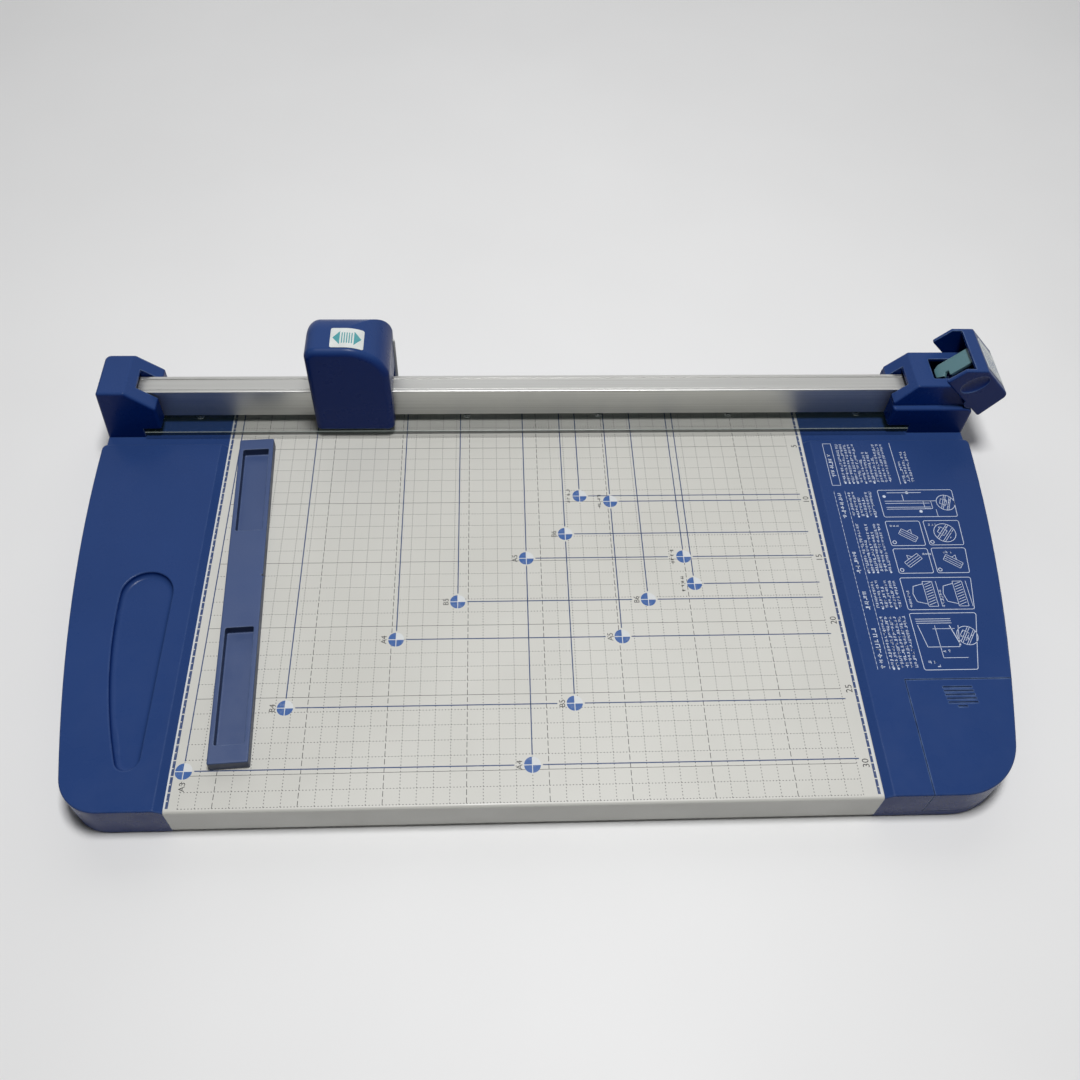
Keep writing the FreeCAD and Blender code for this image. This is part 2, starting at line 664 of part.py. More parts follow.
def lever_housing():
    """Upper half of the right block: a shell with the lever's window in its top."""
    outline = [
        (RIGHT_INNER, RIGHT_BASE_TOP),
        (RIGHT_INNER, 31.0),
        (82.6, HOUSING_TOP),
        (127.5, HOUSING_TOP),
        (127.5, RIGHT_BASE_TOP),
    ]
    solid = prism_xz(outline, HOUSING_FRONT, BLOCK_BACK, [0, 0, 2.0, 3.0, 0])
    solid = solid.common(leaning_front(HOUSING_FRONT, RIGHT_BASE_TOP, HOUSING_TOP, 50, 140))

    def upper_rim(b):
        front = b.YMax < HOUSING_FRONT + BLOCK_DRAFT + 0.1
        back = near(b.YMin, BLOCK_BACK)
        return (front or back) and b.ZMax > RIGHT_BASE_TOP + 0.1

    solid = fillet(solid, 1.4, upper_rim)
    cavity = (HOUSING_FRONT + BLOCK_WALL + 1.0, BLOCK_BACK - BLOCK_WALL)
    solid = solid.cut(box(RIGHT_CAVITY, CAVITY_END, *cavity, RIGHT_BASE_TOP - 1, HOUSING_CAVITY_TOP))
    window_room = (WINDOW_LEFT - 3, CAVITY_END, *cavity)
    solid = solid.cut(box(*window_room, RIGHT_BASE_TOP - 1, HOUSING_TOP - BLOCK_WALL))
    solid = solid.cut(box(60, RIGHT_SLOT_END, SLOT_FRONT, SLOT_BACK, RIGHT_BASE_TOP - 1, 60))
    solid = solid.cut(
        box(60, RAIL_RIGHT + 1.4, SLOT_FRONT, SLOT_BACK, RIGHT_BASE_TOP - 1, HOUSING_CAVITY_TOP)
    )
    window = prism_xy(
        [(WINDOW_LEFT, -24.0), (WINDOW_RIGHT, -24.0), (WINDOW_RIGHT, -4.0), (WINDOW_LEFT, -4.0)],
        HOUSING_TOP - BLOCK_WALL - 1,
        HOUSING_TOP + 1,
        [1.0] * 4,
    )
    solid = solid.cut(window)
    pin_hole = rod(LEVER_PIVOT[0], HOUSING_FRONT - 1, LEVER_PIVOT[1], PIN_RADIUS, 60.0, Y_AXIS)
    return solid.cut(pin_hole).removeSplitter()


def block_screws():
    """Screws that hold both blocks to the beam from below."""
    screws = []
    for x, y in LEFT_BLOCK_SCREWS + RIGHT_BLOCK_SCREWS:
        screws.append(screw(x, y, -BEAM_WALL, BLOCK_SCREW_HEAD, 2.4, BOSS_HOLE, 15.0))
    return group(screws)


# ---- clamp: rail, strip and end plugs ----------------------------------------------------------
GROOVE_Y = -11.6
GROOVE_WIDTH = 1.2
GROOVE_DEPTH = 0.9
FRONT_LINE_Y = -21.4
STRIP_SCREWS = [-452.0 + 100.0 * i for i in range(6)]
STRIP_SCREW_Y = -20.2
STRIP_SHANK = 1.2
STRIP_HEAD_RADIUS = 3.1
STRIP_HEAD_HEIGHT = 1.6
STRIP_SEAT = STRIP_BOTTOM + 0.2 + STRIP_HEAD_HEIGHT


def rail():
    """Hollow aluminium rail with a groove and a fine line along its top."""
    outline = [
        (RAIL_FRONT, RAIL_BOTTOM),
        (RAIL_BACK, RAIL_BOTTOM),
        (RAIL_BACK, RAIL_TOP),
        (RAIL_FRONT, RAIL_TOP),
    ]
    solid = prism_yz(outline, RAIL_LEFT, RAIL_RIGHT, [0.4, 0.4, 0.8, 0.8])
    solid = solid.cut(
        box(
            RAIL_LEFT - 1,
            RAIL_RIGHT + 1,
            RAIL_FRONT + RAIL_WALL,
            RAIL_BACK - RAIL_WALL,
            RAIL_BOTTOM + RAIL_WALL,
            RAIL_TOP - RAIL_WALL,
        )
    )
    for x in STRIP_SCREWS:
        solid = solid.cut(rod(x, STRIP_SCREW_Y, RAIL_BOTTOM - 1, STRIP_SHANK, RAIL_WALL + 2))
    ends = (RAIL_LEFT - 1, RAIL_RIGHT + 1)
    solid = solid.cut(box(*ends, GROOVE_Y, GROOVE_Y + GROOVE_WIDTH, RAIL_TOP - GROOVE_DEPTH, 60))
    return solid.cut(box(*ends, FRONT_LINE_Y, FRONT_LINE_Y + 0.4, RAIL_TOP - 0.25, 60))


GRIP_FRONT = -9.0
GRIP_BACK = -5.0


def clamp_strip():
    """Clear strip under the rail, with a groove for the grip strip and sunk seats for its screws."""
    outline = [
        (STRIP_FRONT, STRIP_BOTTOM),
        (STRIP_BACK, STRIP_BOTTOM),
        (STRIP_BACK, STRIP_TOP),
        (STRIP_FRONT, STRIP_TOP),
    ]
    solid = prism_yz(outline, STRIP_LEFT, STRIP_RIGHT, [0.8, 0.3, 0.3, 0.6])
    solid = solid.cut(box(STRIP_LEFT - 1, STRIP_RIGHT + 1, GRIP_FRONT, GRIP_BACK, 0, STRIP_BOTTOM + 1))
    for x in STRIP_SCREWS:
        solid = solid.cut(rod(x, STRIP_SCREW_Y, 0, STRIP_SHANK, 20))
        solid = solid.cut(rod(x, STRIP_SCREW_Y, 0, STRIP_HEAD_RADIUS + 0.2, STRIP_SEAT))
    return solid


def grip_strip():
    """Rubber line that holds the paper beside the cut."""
    return box(STRIP_LEFT, STRIP_RIGHT, GRIP_FRONT, GRIP_BACK, STRIP_BOTTOM - 0.1, STRIP_BOTTOM + 1)


def strip_screws():
    """Screws that hold the clear strip to the rail's foot; their heads are sunk in the strip's underside."""
    screws = []
    for x in STRIP_SCREWS:
        screws.append(
            screw(x, STRIP_SCREW_Y, STRIP_SEAT, STRIP_HEAD_RADIUS, STRIP_HEAD_HEIGHT, STRIP_SHANK, 5.5)
        )
    return group(screws)


PLUG_SCREW_Z = RAIL_BOTTOM + RAIL_HEIGHT / 2
SPIGOT = 14.0
ARM_TOP = 24.2


def rail_plug(flange_x, spigot_x):
    """Plug in the rail's end; its flange is wider than the slot, so it keeps the rail in the block."""
    flange = box(*sorted(flange_x), FLANGE_FRONT, FLANGE_BACK, FLANGE_BOTTOM, RAIL_TOP + 3.9)
    spigot = box(
        *sorted(spigot_x),
        RAIL_FRONT + RAIL_WALL,
        RAIL_BACK - RAIL_WALL,
        RAIL_BOTTOM + RAIL_WALL,
        RAIL_TOP - RAIL_WALL,
    )
    return flange.fuse(spigot)


def left_rail_plug():
    plug = rail_plug((RAIL_LEFT - FLANGE_THICKNESS, RAIL_LEFT), (RAIL_LEFT, RAIL_LEFT + SPIGOT))
    plug = plug.cut(rod(RAIL_LEFT - 5, RAIL_MIDDLE, PLUG_SCREW_Z, STRIP_SHANK, 30, X_AXIS))
    return plug.removeSplitter()


def right_rail_plug():
    """Right plug, with the arm that the lever's tongue presses down."""
    plug = rail_plug((RAIL_RIGHT, RAIL_RIGHT + FLANGE_THICKNESS), (RAIL_RIGHT - SPIGOT, RAIL_RIGHT))
    start = RAIL_RIGHT + FLANGE_THICKNESS
    arm = prism_xz(
        [(start, 12.0), (start, ARM_TOP), (105.0, ARM_TOP), (105.0, 20.0)], -21.5, -10.5, [0, 0, 1.0, 1.0]
    )
    return plug.fuse(arm).removeSplitter()


def plug_screw():
    """Screw through the left plug's flange into the rail."""
    body = screw(0, 0, 0, 3.0, 1.8, STRIP_SHANK, 12.0)
    body.rotate(Vector(0, 0, 0), Y_AXIS, 90)
    body.translate(Vector(RAIL_LEFT - FLANGE_THICKNESS, RAIL_MIDDLE, PLUG_SCREW_Z))
    return body


def lift_springs():
    """Springs in the beam that lift the clear strip and rail."""
    height = SPRING_DEPTH + STRIP_BOTTOM
    springs = []
    for x in SPRING_X:
        springs.append(coil_spring(x, RAIL_MIDDLE, -SPRING_DEPTH, 3.4, 0.9, height, 5))
    return group(springs)


# ---- lever -------------------------------------------------------------------------------------
HOOD_FRONT = -37.2
HOOD_BACK = 6.7
CHEEK = 2.6
HOOD_PLATE = 2.5
HOOD_A = (90.2, 30.2)
HOOD_B = (88.6, 46.7)
HOOD_C = (99.4, 58.4)
HOOD_D = (134.6, 58.4)
HOOD_E = (142.2, 31.4)
LIP = 8.5
LOBE = 5.0
PIN_COVER = 0.8  # what is left of a cheek outside the pin's end


def opened(shape):
    """Turn a lever piece from its shut place, where it is drawn, to its open place."""
    shape.rotate(Vector(LEVER_PIVOT[0], 0, LEVER_PIVOT[1]), Y_AXIS, LEVER_OPEN)
    return shape


def lever_hood():
    """Hood that covers the housing: two cheeks, a top plate with a lip, and an end plate."""
    outline = [HOOD_A, HOOD_B, HOOD_C, HOOD_D, HOOD_E]
    hood = prism_xz(outline, HOOD_FRONT, HOOD_BACK, [1.5, 1.5, 1.5, 5.5, 1.5])
    hood = fillet(hood, 1.1, lambda b: near(b.YMin, b.YMax) and b.ZMax > 32)
    lip_way = unit(HOOD_B[0] - HOOD_C[0], HOOD_B[1] - HOOD_C[1])
    lip_end = (HOOD_C[0] + lip_way[0] * LIP, HOOD_C[1] + lip_way[1] * LIP)
    inward = (-lip_way[1], lip_way[0])
    lip_inner = (lip_end[0] + inward[0] * HOOD_PLATE, lip_end[1] + inward[1] * HOOD_PLATE)
    inner_top = HOOD_C[1] - HOOD_PLATE
    room = [
        (70.0, 10.0),
        (70.0, lip_end[1] + (lip_end[0] - 70.0)),
        lip_end,
        lip_inner,
        (HOOD_C[0] + 1.0, inner_top),
        (HOOD_D[0] - 1.9, inner_top),
        (HOOD_E[0] - 2.6, HOOD_E[1]),
        (HOOD_E[0] + 3.0, 10.0),
    ]
    hood = hood.cut(prism_xz(room, HOOD_FRONT + CHEEK, HOOD_BACK - CHEEK, [0, 0, 0, 0, 0, 3.5, 0, 0]))
    px, pz = LEVER_PIVOT
    for y0 in (HOOD_FRONT, HOOD_BACK - CHEEK):
        hood = hood.fuse(rod(px, y0, pz, LOBE, CHEEK, Y_AXIS))
    pin_length = HOOD_BACK - HOOD_FRONT - 2 * PIN_COVER
    hood = hood.cut(rod(px, HOOD_FRONT + PIN_COVER, pz, PIN_RADIUS + 0.05, pin_length, Y_AXIS))
    for y in (HOOD_FRONT, HOOD_BACK):
        hood = hood.cut(finger_dimple(y))
    return opened(hood.removeSplitter())


def finger_dimple(y):
    """Shallow oval hollow in a cheek."""
    ball = Part.makeSphere(1.0)
    squash = Matrix()
    squash.scale(7.0, 1.5, 11.0)
    ball = ball.transformGeometry(squash)
    ball.translate(Vector(106.5, y, 44.8))
    return ball


TONGUE_TOP = (98.9, 55.9)
TONGUE_LEAN = -7.0
TONGUE_LENGTH = 34.6
TONGUE_RIVET_X = TONGUE_TOP[0] + 11.0
TONGUE_RIVETS = (-19.5, -12.5)


def lever_tongue():
    """Hooked tongue that hangs inside the hood and reaches through the housing's window."""
    x, top = TONGUE_TOP
    low = top - TONGUE_LENGTH
    outline = [
        (-9.0, top - 3.0),
        (-23.0, top - 3.0),
        (-23.0, low + 10.5),
        (-18.5, low + 10.5),
        (-18.5, low + 7.5),
        (-21.5, low + 6.0),
        (-19.0, low),
        (-11.5, low),
        (-9.0, low + 4.0),
    ]
    tongue = prism_yz(outline, x - 1.4, x + 1.4, [0, 0, 0.6, 0.6, 0.6, 0.6, 1.5, 1.5, 1.5])
    tongue.rotate(Vector(x, 0, top), Y_AXIS, TONGUE_LEAN)
    foot = [
        (x - 1.2, top - 3.6),
        (x + 1.6, top - 3.6),
        (x + 4.0, top - 3.0),
        (x + 16.0, top - 3.0),
        (x + 16.0, top),
        (x + 1.9, top),
    ]
    tongue = tongue.fuse(prism_xz(foot, -23.0, -9.0)).removeSplitter()
    for y in TONGUE_RIVETS:
        tongue = tongue.cut(rod(TONGUE_RIVET_X, y, top - 5, 1.5, 10))
    return opened(tongue)


def tongue_rivets():
    """Two rivets that hold the tongue's foot under the hood's top plate."""
    rivets = []
    for y in TONGUE_RIVETS:
        head = rod(TONGUE_RIVET_X, y, TONGUE_TOP[1] - 4.2, 2.8, 1.2)
        rivets.append(head.fuse(rod(TONGUE_RIVET_X, y, TONGUE_TOP[1] - 3.0, 1.5, 3.0)).removeSplitter())
    return opened(group(rivets))


def lever_label():
    """Thin plate in the hood's top."""
    outline = [(103.5, -31.0), (130.0, -31.0), (130.0, 0.5), (103.5, 0.5)]
    return opened(prism_xy(outline, HOOD_C[1], HOOD_C[1] + 0.3, [2.0] * 4))


def lever_pin():
    """Steel pin on which the lever turns; its ends stop inside the hood's cheeks."""
    px, pz = LEVER_PIVOT
    start = HOOD_FRONT + PIN_COVER + 0.2
    return rod(px, start, pz, PIN_RADIUS, HOOD_BACK - PIN_COVER - 0.2 - start, Y_AXIS)


# ---- carriage ----------------------------------------------------------------------------------
COVER_ARCH_RADIUS = 31.0
COVER_ARCH_START = CARRIAGE_RIGHT - 30.6
COVER_BACK_RADIUS = 25.0
COVER_CORNER = 9.0
COVER_FRONT_ROUND = 4.8
COVER_LEFT_WALL = 5.0  # thick enough to stay whole inside the rounded left rim
CUTOUT_FRONT = -27.4
CUTOUT_BACK = -1.5
CUTOUT_TOP = 40.0
COVER_SCREWS = (CARRIAGE_MIDDLE - 16.0, CARRIAGE_MIDDLE + 16.0)
COVER_SCREW_Z = 46.0
SCREW_REACH = 9.0
GUARD_LEFT = CARRIAGE_LEFT + 9.5
GUARD_FRONT = 4.1
GUARD_BACK = 5.7
GUARD_BOTTOM = 5.6
GUARD_TOP = 60.0
GUARD_RIGHT = -304.2


def cover_block(inset, left):
    """The cover's form before its arch: upright, with a large radius at the back of its top."""
    front = CARRIAGE_FRONT + inset
    back = CARRIAGE_BACK - inset
    top = CARRIAGE_TOP - inset
    bottom = CARRIAGE_BOTTOM - inset
    side = [(front, bottom), (back, bottom), (back, top), (front, top)]
    return prism_yz(side, left, CARRIAGE_RIGHT - inset, [0, 0, COVER_BACK_RADIUS - inset, 0])


def arch_prism(inset, left):
    """Everything under the cover's top, which falls in an arc to the right."""
    right = CARRIAGE_RIGHT - inset
    top = CARRIAGE_TOP - inset
    bottom = CARRIAGE_BOTTOM - inset
    radius = COVER_ARCH_RADIUS - inset
    centre_z = CARRIAGE_TOP - COVER_ARCH_RADIUS

    def at(x, z):
        return Vector(x, CARRIAGE_FRONT, z)

    def on_arch(x):
        return at(x, centre_z + math.sqrt(radius**2 - (x - COVER_ARCH_START) ** 2))

    start = at(COVER_ARCH_START, top)
    edges = [
        Part.makeLine(at(left, bottom), at(left, top)),
        Part.makeLine(at(left, top), start),
        Part.Arc(start, on_arch(COVER_ARCH_START + radius * math.sqrt(0.5)), on_arch(right)).toShape(),
        Part.makeLine(on_arch(right), at(right, bottom)),
        Part.makeLine(at(right, bottom), at(left, bottom)),
    ]
    return Part.Face(Part.Wire(edges)).extrude(Vector(0, CARRIAGE_BACK - CARRIAGE_FRONT, 0))


def cover_solid():
    """The cover's outer form."""

    def left_rim(b):
        upper = b.ZMax > CARRIAGE_BOTTOM + 1 and b.YMax > CARRIAGE_FRONT + 1
        return near(b.XMin, CARRIAGE_LEFT) and near(b.XMax, CARRIAGE_LEFT) and upper

    def front_rim(b):
        return near(b.YMin, CARRIAGE_FRONT) and near(b.YMax, CARRIAGE_FRONT) and b.ZMax > CARRIAGE_BOTTOM + 1

    form = fillet(cover_block(0.0, CARRIAGE_LEFT), COVER_CORNER, left_rim)
    form = form.common(arch_prism(0.0, CARRIAGE_LEFT))
    return fillet(form, COVER_FRONT_ROUND, front_rim)


def carriage_cover():
    """Blue cover held by the hand; it is open below, and its sides are cut out round the rail."""
    room_left = CARRIAGE_LEFT + COVER_LEFT_WALL
    room = cover_block(CARRIAGE_WALL, room_left).common(arch_prism(CARRIAGE_WALL, room_left))
    cover = cover_solid().cut(room)
    cover = cover.cut(box(CARRIAGE_LEFT - 5, CARRIAGE_RIGHT + 5, CUTOUT_FRONT, CUTOUT_BACK, 0, CUTOUT_TOP))
    guard_room = (GUARD_FRONT - TOUCH, GUARD_BACK + TOUCH)
    cover = cover.cut(box(CARRIAGE_RIGHT - 15, CARRIAGE_RIGHT + 5, *guard_room, 0, GUARD_TOP + 1.0))
    for x in COVER_SCREWS:
        cover = cover.cut(rod(x, GUARD_FRONT, COVER_SCREW_Z, STRIP_SHANK + 0.3, 6, Y_AXIS))
    return cover.removeSplitter()


SLIDER_TOP_GAP = 0.4
LEG = 2.6
SLIDER_LEFT = CARRIAGE_LEFT + 3.0
SLIDER_RIGHT = CARRIAGE_RIGHT - 3.0
SLIDER_FRONT = -26.8
SLIDER_BACK = -4.8
SLIDER_TOP = RAIL_TOP + 4.0
SLIDER_BOTTOM = STRIP_TOP + 2.2
TOWER_TOP = 52.0
PAD_X = [SLIDER_LEFT + 8.0, SLIDER_RIGHT - 8.0]
PAD_LENGTH = 8.0
PAD_GAP = 0.12


def pad_boxes():
    """Places of the glide pads: on the rail's front, back and top, near both ends of the slider."""
    pads = []
    for x in PAD_X:
        ends = (x - PAD_LENGTH / 2, x + PAD_LENGTH / 2)
        pads.append(box(*ends, RAIL_FRONT - 1.6, RAIL_FRONT - PAD_GAP, 16.0, 30.0))
        pads.append(box(*ends, RAIL_BACK + PAD_GAP, RAIL_BACK + 1.6, 16.0, 30.0))
        pads.append(box(*ends, -20.5, -13.0, RAIL_TOP + PAD_GAP, RAIL_TOP + 2.0))
    return pads


def slider_body():
    """Grey slider that straddles the rail, with a tower over the blade holder."""
    play = SLIDER_TOP_GAP
    outer = box(SLIDER_LEFT, SLIDER_RIGHT, SLIDER_FRONT, SLIDER_BACK, SLIDER_BOTTOM, SLIDER_TOP)
    channel = box(
        SLIDER_LEFT - 1, SLIDER_RIGHT + 1, RAIL_FRONT - play, RAIL_BACK + play, 0, RAIL_TOP + play
    )
    body = outer.cut(channel)
    tower = box(CARRIAGE_MIDDLE - 9, CARRIAGE_MIDDLE + 9, SLIDER_BACK - LEG, 4.0, 0, TOWER_TOP)
    tower = tower.cut(
        box(CARRIAGE_MIDDLE - 10, CARRIAGE_MIDDLE + 10, SLIDER_BACK, 5.0, -1, TOWER_TOP - 3.0)
    )
    tower = tower.common(box(-400, -300, -40, 20, SLIDER_TOP - 1, TOWER_TOP))
    body = body.fuse(tower)
    body = body.fuse(rod(CARRIAGE_MIDDLE, 0, TOWER_TOP - 5.0, 1.6, 3.0))
    for pad in pad_boxes():
        body = body.cut(pad)
    for x in COVER_SCREWS:
        post_y = (SLIDER_BACK - LEG, GUARD_FRONT - TOUCH)
        post = box(x - 3.0, x + 3.0, *post_y, SLIDER_TOP - 1, COVER_SCREW_Z + 3.0)
        body = body.fuse(post)
        body = body.cut(rod(x, SLIDER_BACK - LEG - 1, COVER_SCREW_Z, STRIP_SHANK, 20.0, Y_AXIS))
    return body.removeSplitter()


def blade_guard():
    """Light plate behind the blade; it stands out a little at the right."""
    outline = [
        (GUARD_LEFT, GUARD_BOTTOM),
        (GUARD_LEFT, GUARD_TOP - 4.0),
        (GUARD_RIGHT, GUARD_TOP),
        (GUARD_RIGHT, GUARD_BOTTOM + 6.4),
        (GUARD_RIGHT - 5.0, GUARD_BOTTOM),
    ]
    guard = prism_xz(outline, GUARD_FRONT, GUARD_BACK, [2, 3, 2.5, 2, 2])
    for x in COVER_SCREWS:
        guard = guard.cut(rod(x, 0, COVER_SCREW_Z, STRIP_SHANK + 0.3, 10, Y_AXIS))
    return guard


def glide_pads():
    """Small pads on which the slider runs."""
    return group(pad_boxes())


def carriage_screws():
    """Two screws that go through the cover's back and the guard into the slider's posts."""
    screws = []
    for x in COVER_SCREWS:
        body = screw(0, 0, 0, 2.2, 0.9, STRIP_SHANK, SCREW_REACH)
        body.rotate(Vector(0, 0, 0), X_AXIS, 90)
        body.translate(Vector(x, CARRIAGE_BACK, COVER_SCREW_Z))
        screws.append(body)
    return group(screws)


LABEL_THICKNESS = 0.35


def arrow_label():
    """Label that follows the cover's curved top."""
    outer = cover_solid()
    raised = outer.copy()
    raised.translate(Vector(0, 0, LABEL_THICKNESS))
    outline = [(-345.0, -34.0), (-322.0, -34.0), (-322.0, -15.5), (-345.0, -15.5)]
    plug = prism_xy(outline, 60, 120, [1.5] * 4)
    skin = raised.cut(outer).common(plug)
    solids = sorted(skin.Solids, key=lambda s: s.Volume)
    return solids[-1]


HOLDER_HALF = 12.0
HOLDER_TOP = 37.0
HOLDER_PLATE = 1.5
HOLDER_FRONT = -3.9
HOLDER_BACK = 3.8
AXLE_RADIUS = 2.0
HOLDER_SPRING_HEIGHT = TOWER_TOP - 3.0 - HOLDER_TOP


def blade_holder():
    """Yoke over the blade: two side plates joined above it."""
    ends = (CARRIAGE_MIDDLE - HOLDER_HALF, CARRIAGE_MIDDLE + HOLDER_HALF)
    body = box(*ends, HOLDER_FRONT, HOLDER_BACK, BLADE_CENTRE - 6, HOLDER_TOP)

    def low_corners(b):
        return near(b.XMin, b.XMax) and near(b.ZMin, b.ZMax) and b.ZMax < HOLDER_TOP - 1

    body = fillet(body, 3.0, low_corners)
    gap = (HOLDER_FRONT + HOLDER_PLATE, HOLDER_BACK - HOLDER_PLATE)
    body = body.cut(box(ends[0] - 1, ends[1] + 1, *gap, 0, HOLDER_TOP - 3.0))
    return body.cut(rod(CARRIAGE_MIDDLE, -5, BLADE_CENTRE, AXLE_RADIUS, 10, Y_AXIS))


def blade_axle():
    """Pin through the holder; the hub turns on it."""
    length = HOLDER_BACK - HOLDER_FRONT
    return rod(CARRIAGE_MIDDLE, HOLDER_FRONT, BLADE_CENTRE, AXLE_RADIUS, length, Y_AXIS)


def holder_spring():
    """Spring that presses the blade holder down."""
    return coil_spring(CARRIAGE_MIDDLE, 0, HOLDER_TOP, 2.7, 0.7, HOLDER_SPRING_HEIGHT, 5)


HUB_RADIUS = 6.5
HUB_HALF = 1.9
HUB_BORE = AXLE_RADIUS + 0.05
HUB_NOSE = 3.6


def round_blade():
    """Steel disc, bevelled to its edge on both sides."""
    half = BLADE_THICKNESS / 2
    bevel = 1.6
    outline = [
        Vector(HUB_NOSE, -half, 0),
        Vector(BLADE_RADIUS - bevel, -half, 0),
        Vector(BLADE_RADIUS, -0.03, 0),
        Vector(BLADE_RADIUS, 0.03, 0),
        Vector(BLADE_RADIUS - bevel, half, 0),
        Vector(HUB_NOSE, half, 0),
        Vector(HUB_NOSE, -half, 0),
    ]
    disc = Part.Face(Part.makePolygon(outline)).revolve(Vector(0, 0, 0), Y_AXIS, 360)
    disc.translate(Vector(CARRIAGE_MIDDLE, 0, BLADE_CENTRE))
    return disc


def blade_hub():
    """Plastic hub that holds the blade and turns on the axle."""
    x = CARRIAGE_MIDDLE
    half = BLADE_THICKNESS / 2
    nose = rod(x, -HUB_HALF, BLADE_CENTRE, HUB_NOSE, 2 * HUB_HALF, Y_AXIS)
    front = rod(x, -HUB_HALF, BLADE_CENTRE, HUB_RADIUS, HUB_HALF - half, Y_AXIS)
    back = rod(x, half, BLADE_CENTRE, HUB_RADIUS, HUB_HALF - half, Y_AXIS)
    hub = nose.fuse(front).fuse(back)
    return hub.cut(rod(x, -5, BLADE_CENTRE, HUB_BORE, 10, Y_AXIS)).removeSplitter()


# ---- magnetic stop -----------------------------------------------------------------------------
STOP_BACKING = 0.6
TRAYS = ((9.5, 81.0), (157.0, 237.3))  # each tray's start and end, from the bar's back end
TRAY_SIDE = 3.1
TRAY_DEPTH = 7.0
NOTCH_FROM_BACK = 118.0
NOTCH_SIZE = 1.2
MAGNET_Y = (92.0, 119.0, 146.0)
MAGNET_SIZE = (16.0, 15.0, 3.0)


def placed_stop(shape):
    """Move a piece of the stop from its own frame to where it lies on the bed."""
    lie = Placement(Vector(STOP_CENTRE[0], STOP_CENTRE[1], 0), Rotation(Z_AXIS, STOP_TURN))
    shape.Placement = lie.multiply(shape.Placement)
    return shape


def stop_bar():
    """Bar with two sunk trays in its top and pockets for magnets below."""
    half_length = STOP_LENGTH / 2
    half_width = STOP_WIDTH / 2
    bar = box(-half_width, half_width, -half_length, half_length, STOP_BACKING, STOP_TOP)
    bar = fillet(bar, 1.0, lambda b: near(b.XMin, b.XMax) and near(b.YMin, b.YMax))
    bar = fillet(bar, 0.7, flat_at_z(STOP_TOP))
    for start, end in TRAYS:
        tray = box(
            -half_width + TRAY_SIDE,
            half_width - TRAY_SIDE,
            half_length - end,
            half_length - start,
            STOP_TOP - TRAY_DEPTH,
            STOP_TOP + 1,
        )
        tray = fillet(tray, 1.2, lambda b: near(b.XMin, b.XMax) and near(b.YMin, b.YMax))
        bar = bar.cut(fillet(tray, 0.6, flat_at_z(STOP_TOP - TRAY_DEPTH)))
    notch_y = half_length - NOTCH_FROM_BACK
    notch = [
        (half_width - NOTCH_SIZE, notch_y),
        (half_width + 1, notch_y - NOTCH_SIZE - 1),
        (half_width + 1, notch_y + NOTCH_SIZE + 1),
    ]
    bar = bar.cut(prism_xy(notch, STOP_TOP - 3.0, STOP_TOP + 1))
    for magnet in magnet_boxes():
        bar = bar.cut(magnet)
    return placed_stop(bar)


def magnet_boxes():
    """Magnets in the solid stretch between the trays."""
    half_x = MAGNET_SIZE[0] / 2
    half_y = MAGNET_SIZE[1] / 2
    solids = []
    for along in MAGNET_Y:
        y = STOP_LENGTH / 2 - along
        solids.append(
            box(-half_x, half_x, y - half_y, y + half_y, STOP_BACKING, STOP_BACKING + MAGNET_SIZE[2])
        )
    return solids


def stop_magnets():
    return placed_stop(group(magnet_boxes()))


def stop_backing():
    """Felt under the bar."""
    half_length = STOP_LENGTH / 2 - 1.5
    half_width = STOP_WIDTH / 2 - 1.5
    return placed_stop(box(-half_width, half_width, -half_length, half_length, TOUCH, STOP_BACKING))


# ---- export ------------------------------------------------------------------------------------
def nodes():
    """Every piece by its name."""
    return {
        "bed_plate": bed_plate(),
        "left_panel": left_panel(),
        "right_panel": right_panel(),
        "rear_beam": rear_beam(),
        "cutting_strip": cutting_strip(),
        "front_cross_rail": cross_rail(FRONT_CROSS_RAIL),
        "rear_cross_rail": cross_rail(REAR_CROSS_RAIL),
        "left_panel_cover": panel_cover(-1, LEFT_BOSSES),
        "right_panel_cover": panel_cover(1, RIGHT_BOSSES),
        "beam_cover": beam_cover(),
        "cover_screws": cover_screws(),
        "rubber_feet": rubber_feet(),
        "left_block": left_block(),
        "right_block_base": right_block_base(),
        "lever_housing": lever_housing(),
        "block_screws": block_screws(),
        "lever_pin": lever_pin(),
        "lift_springs": lift_springs(),
        "rail": rail(),
        "clamp_strip": clamp_strip(),
        "grip_strip": grip_strip(),
        "strip_screws": strip_screws(),
        "left_rail_plug": left_rail_plug(),
        "right_rail_plug": right_rail_plug(),
        "plug_screw": plug_screw(),
        "lever_hood": lever_hood(),
        "lever_tongue": lever_tongue(),
        "tongue_rivets": tongue_rivets(),
        "lever_label": lever_label(),
        "carriage_cover": carriage_cover(),
        "arrow_label": arrow_label(),
        "slider_body": slider_body(),
        "blade_guard": blade_guard(),
        "glide_pads": glide_pads(),
        "carriage_screws": carriage_screws(),
        "blade_holder": blade_holder(),
        "blade_axle": blade_axle(),
        "holder_spring": holder_spring(),
        "round_blade": round_blade(),
        "blade_hub": blade_hub(),
        "stop_bar": stop_bar(),
        "stop_magnets": stop_magnets(),
        "stop_backing": stop_backing(),
        "storage_lid": storage_lid(),
    }


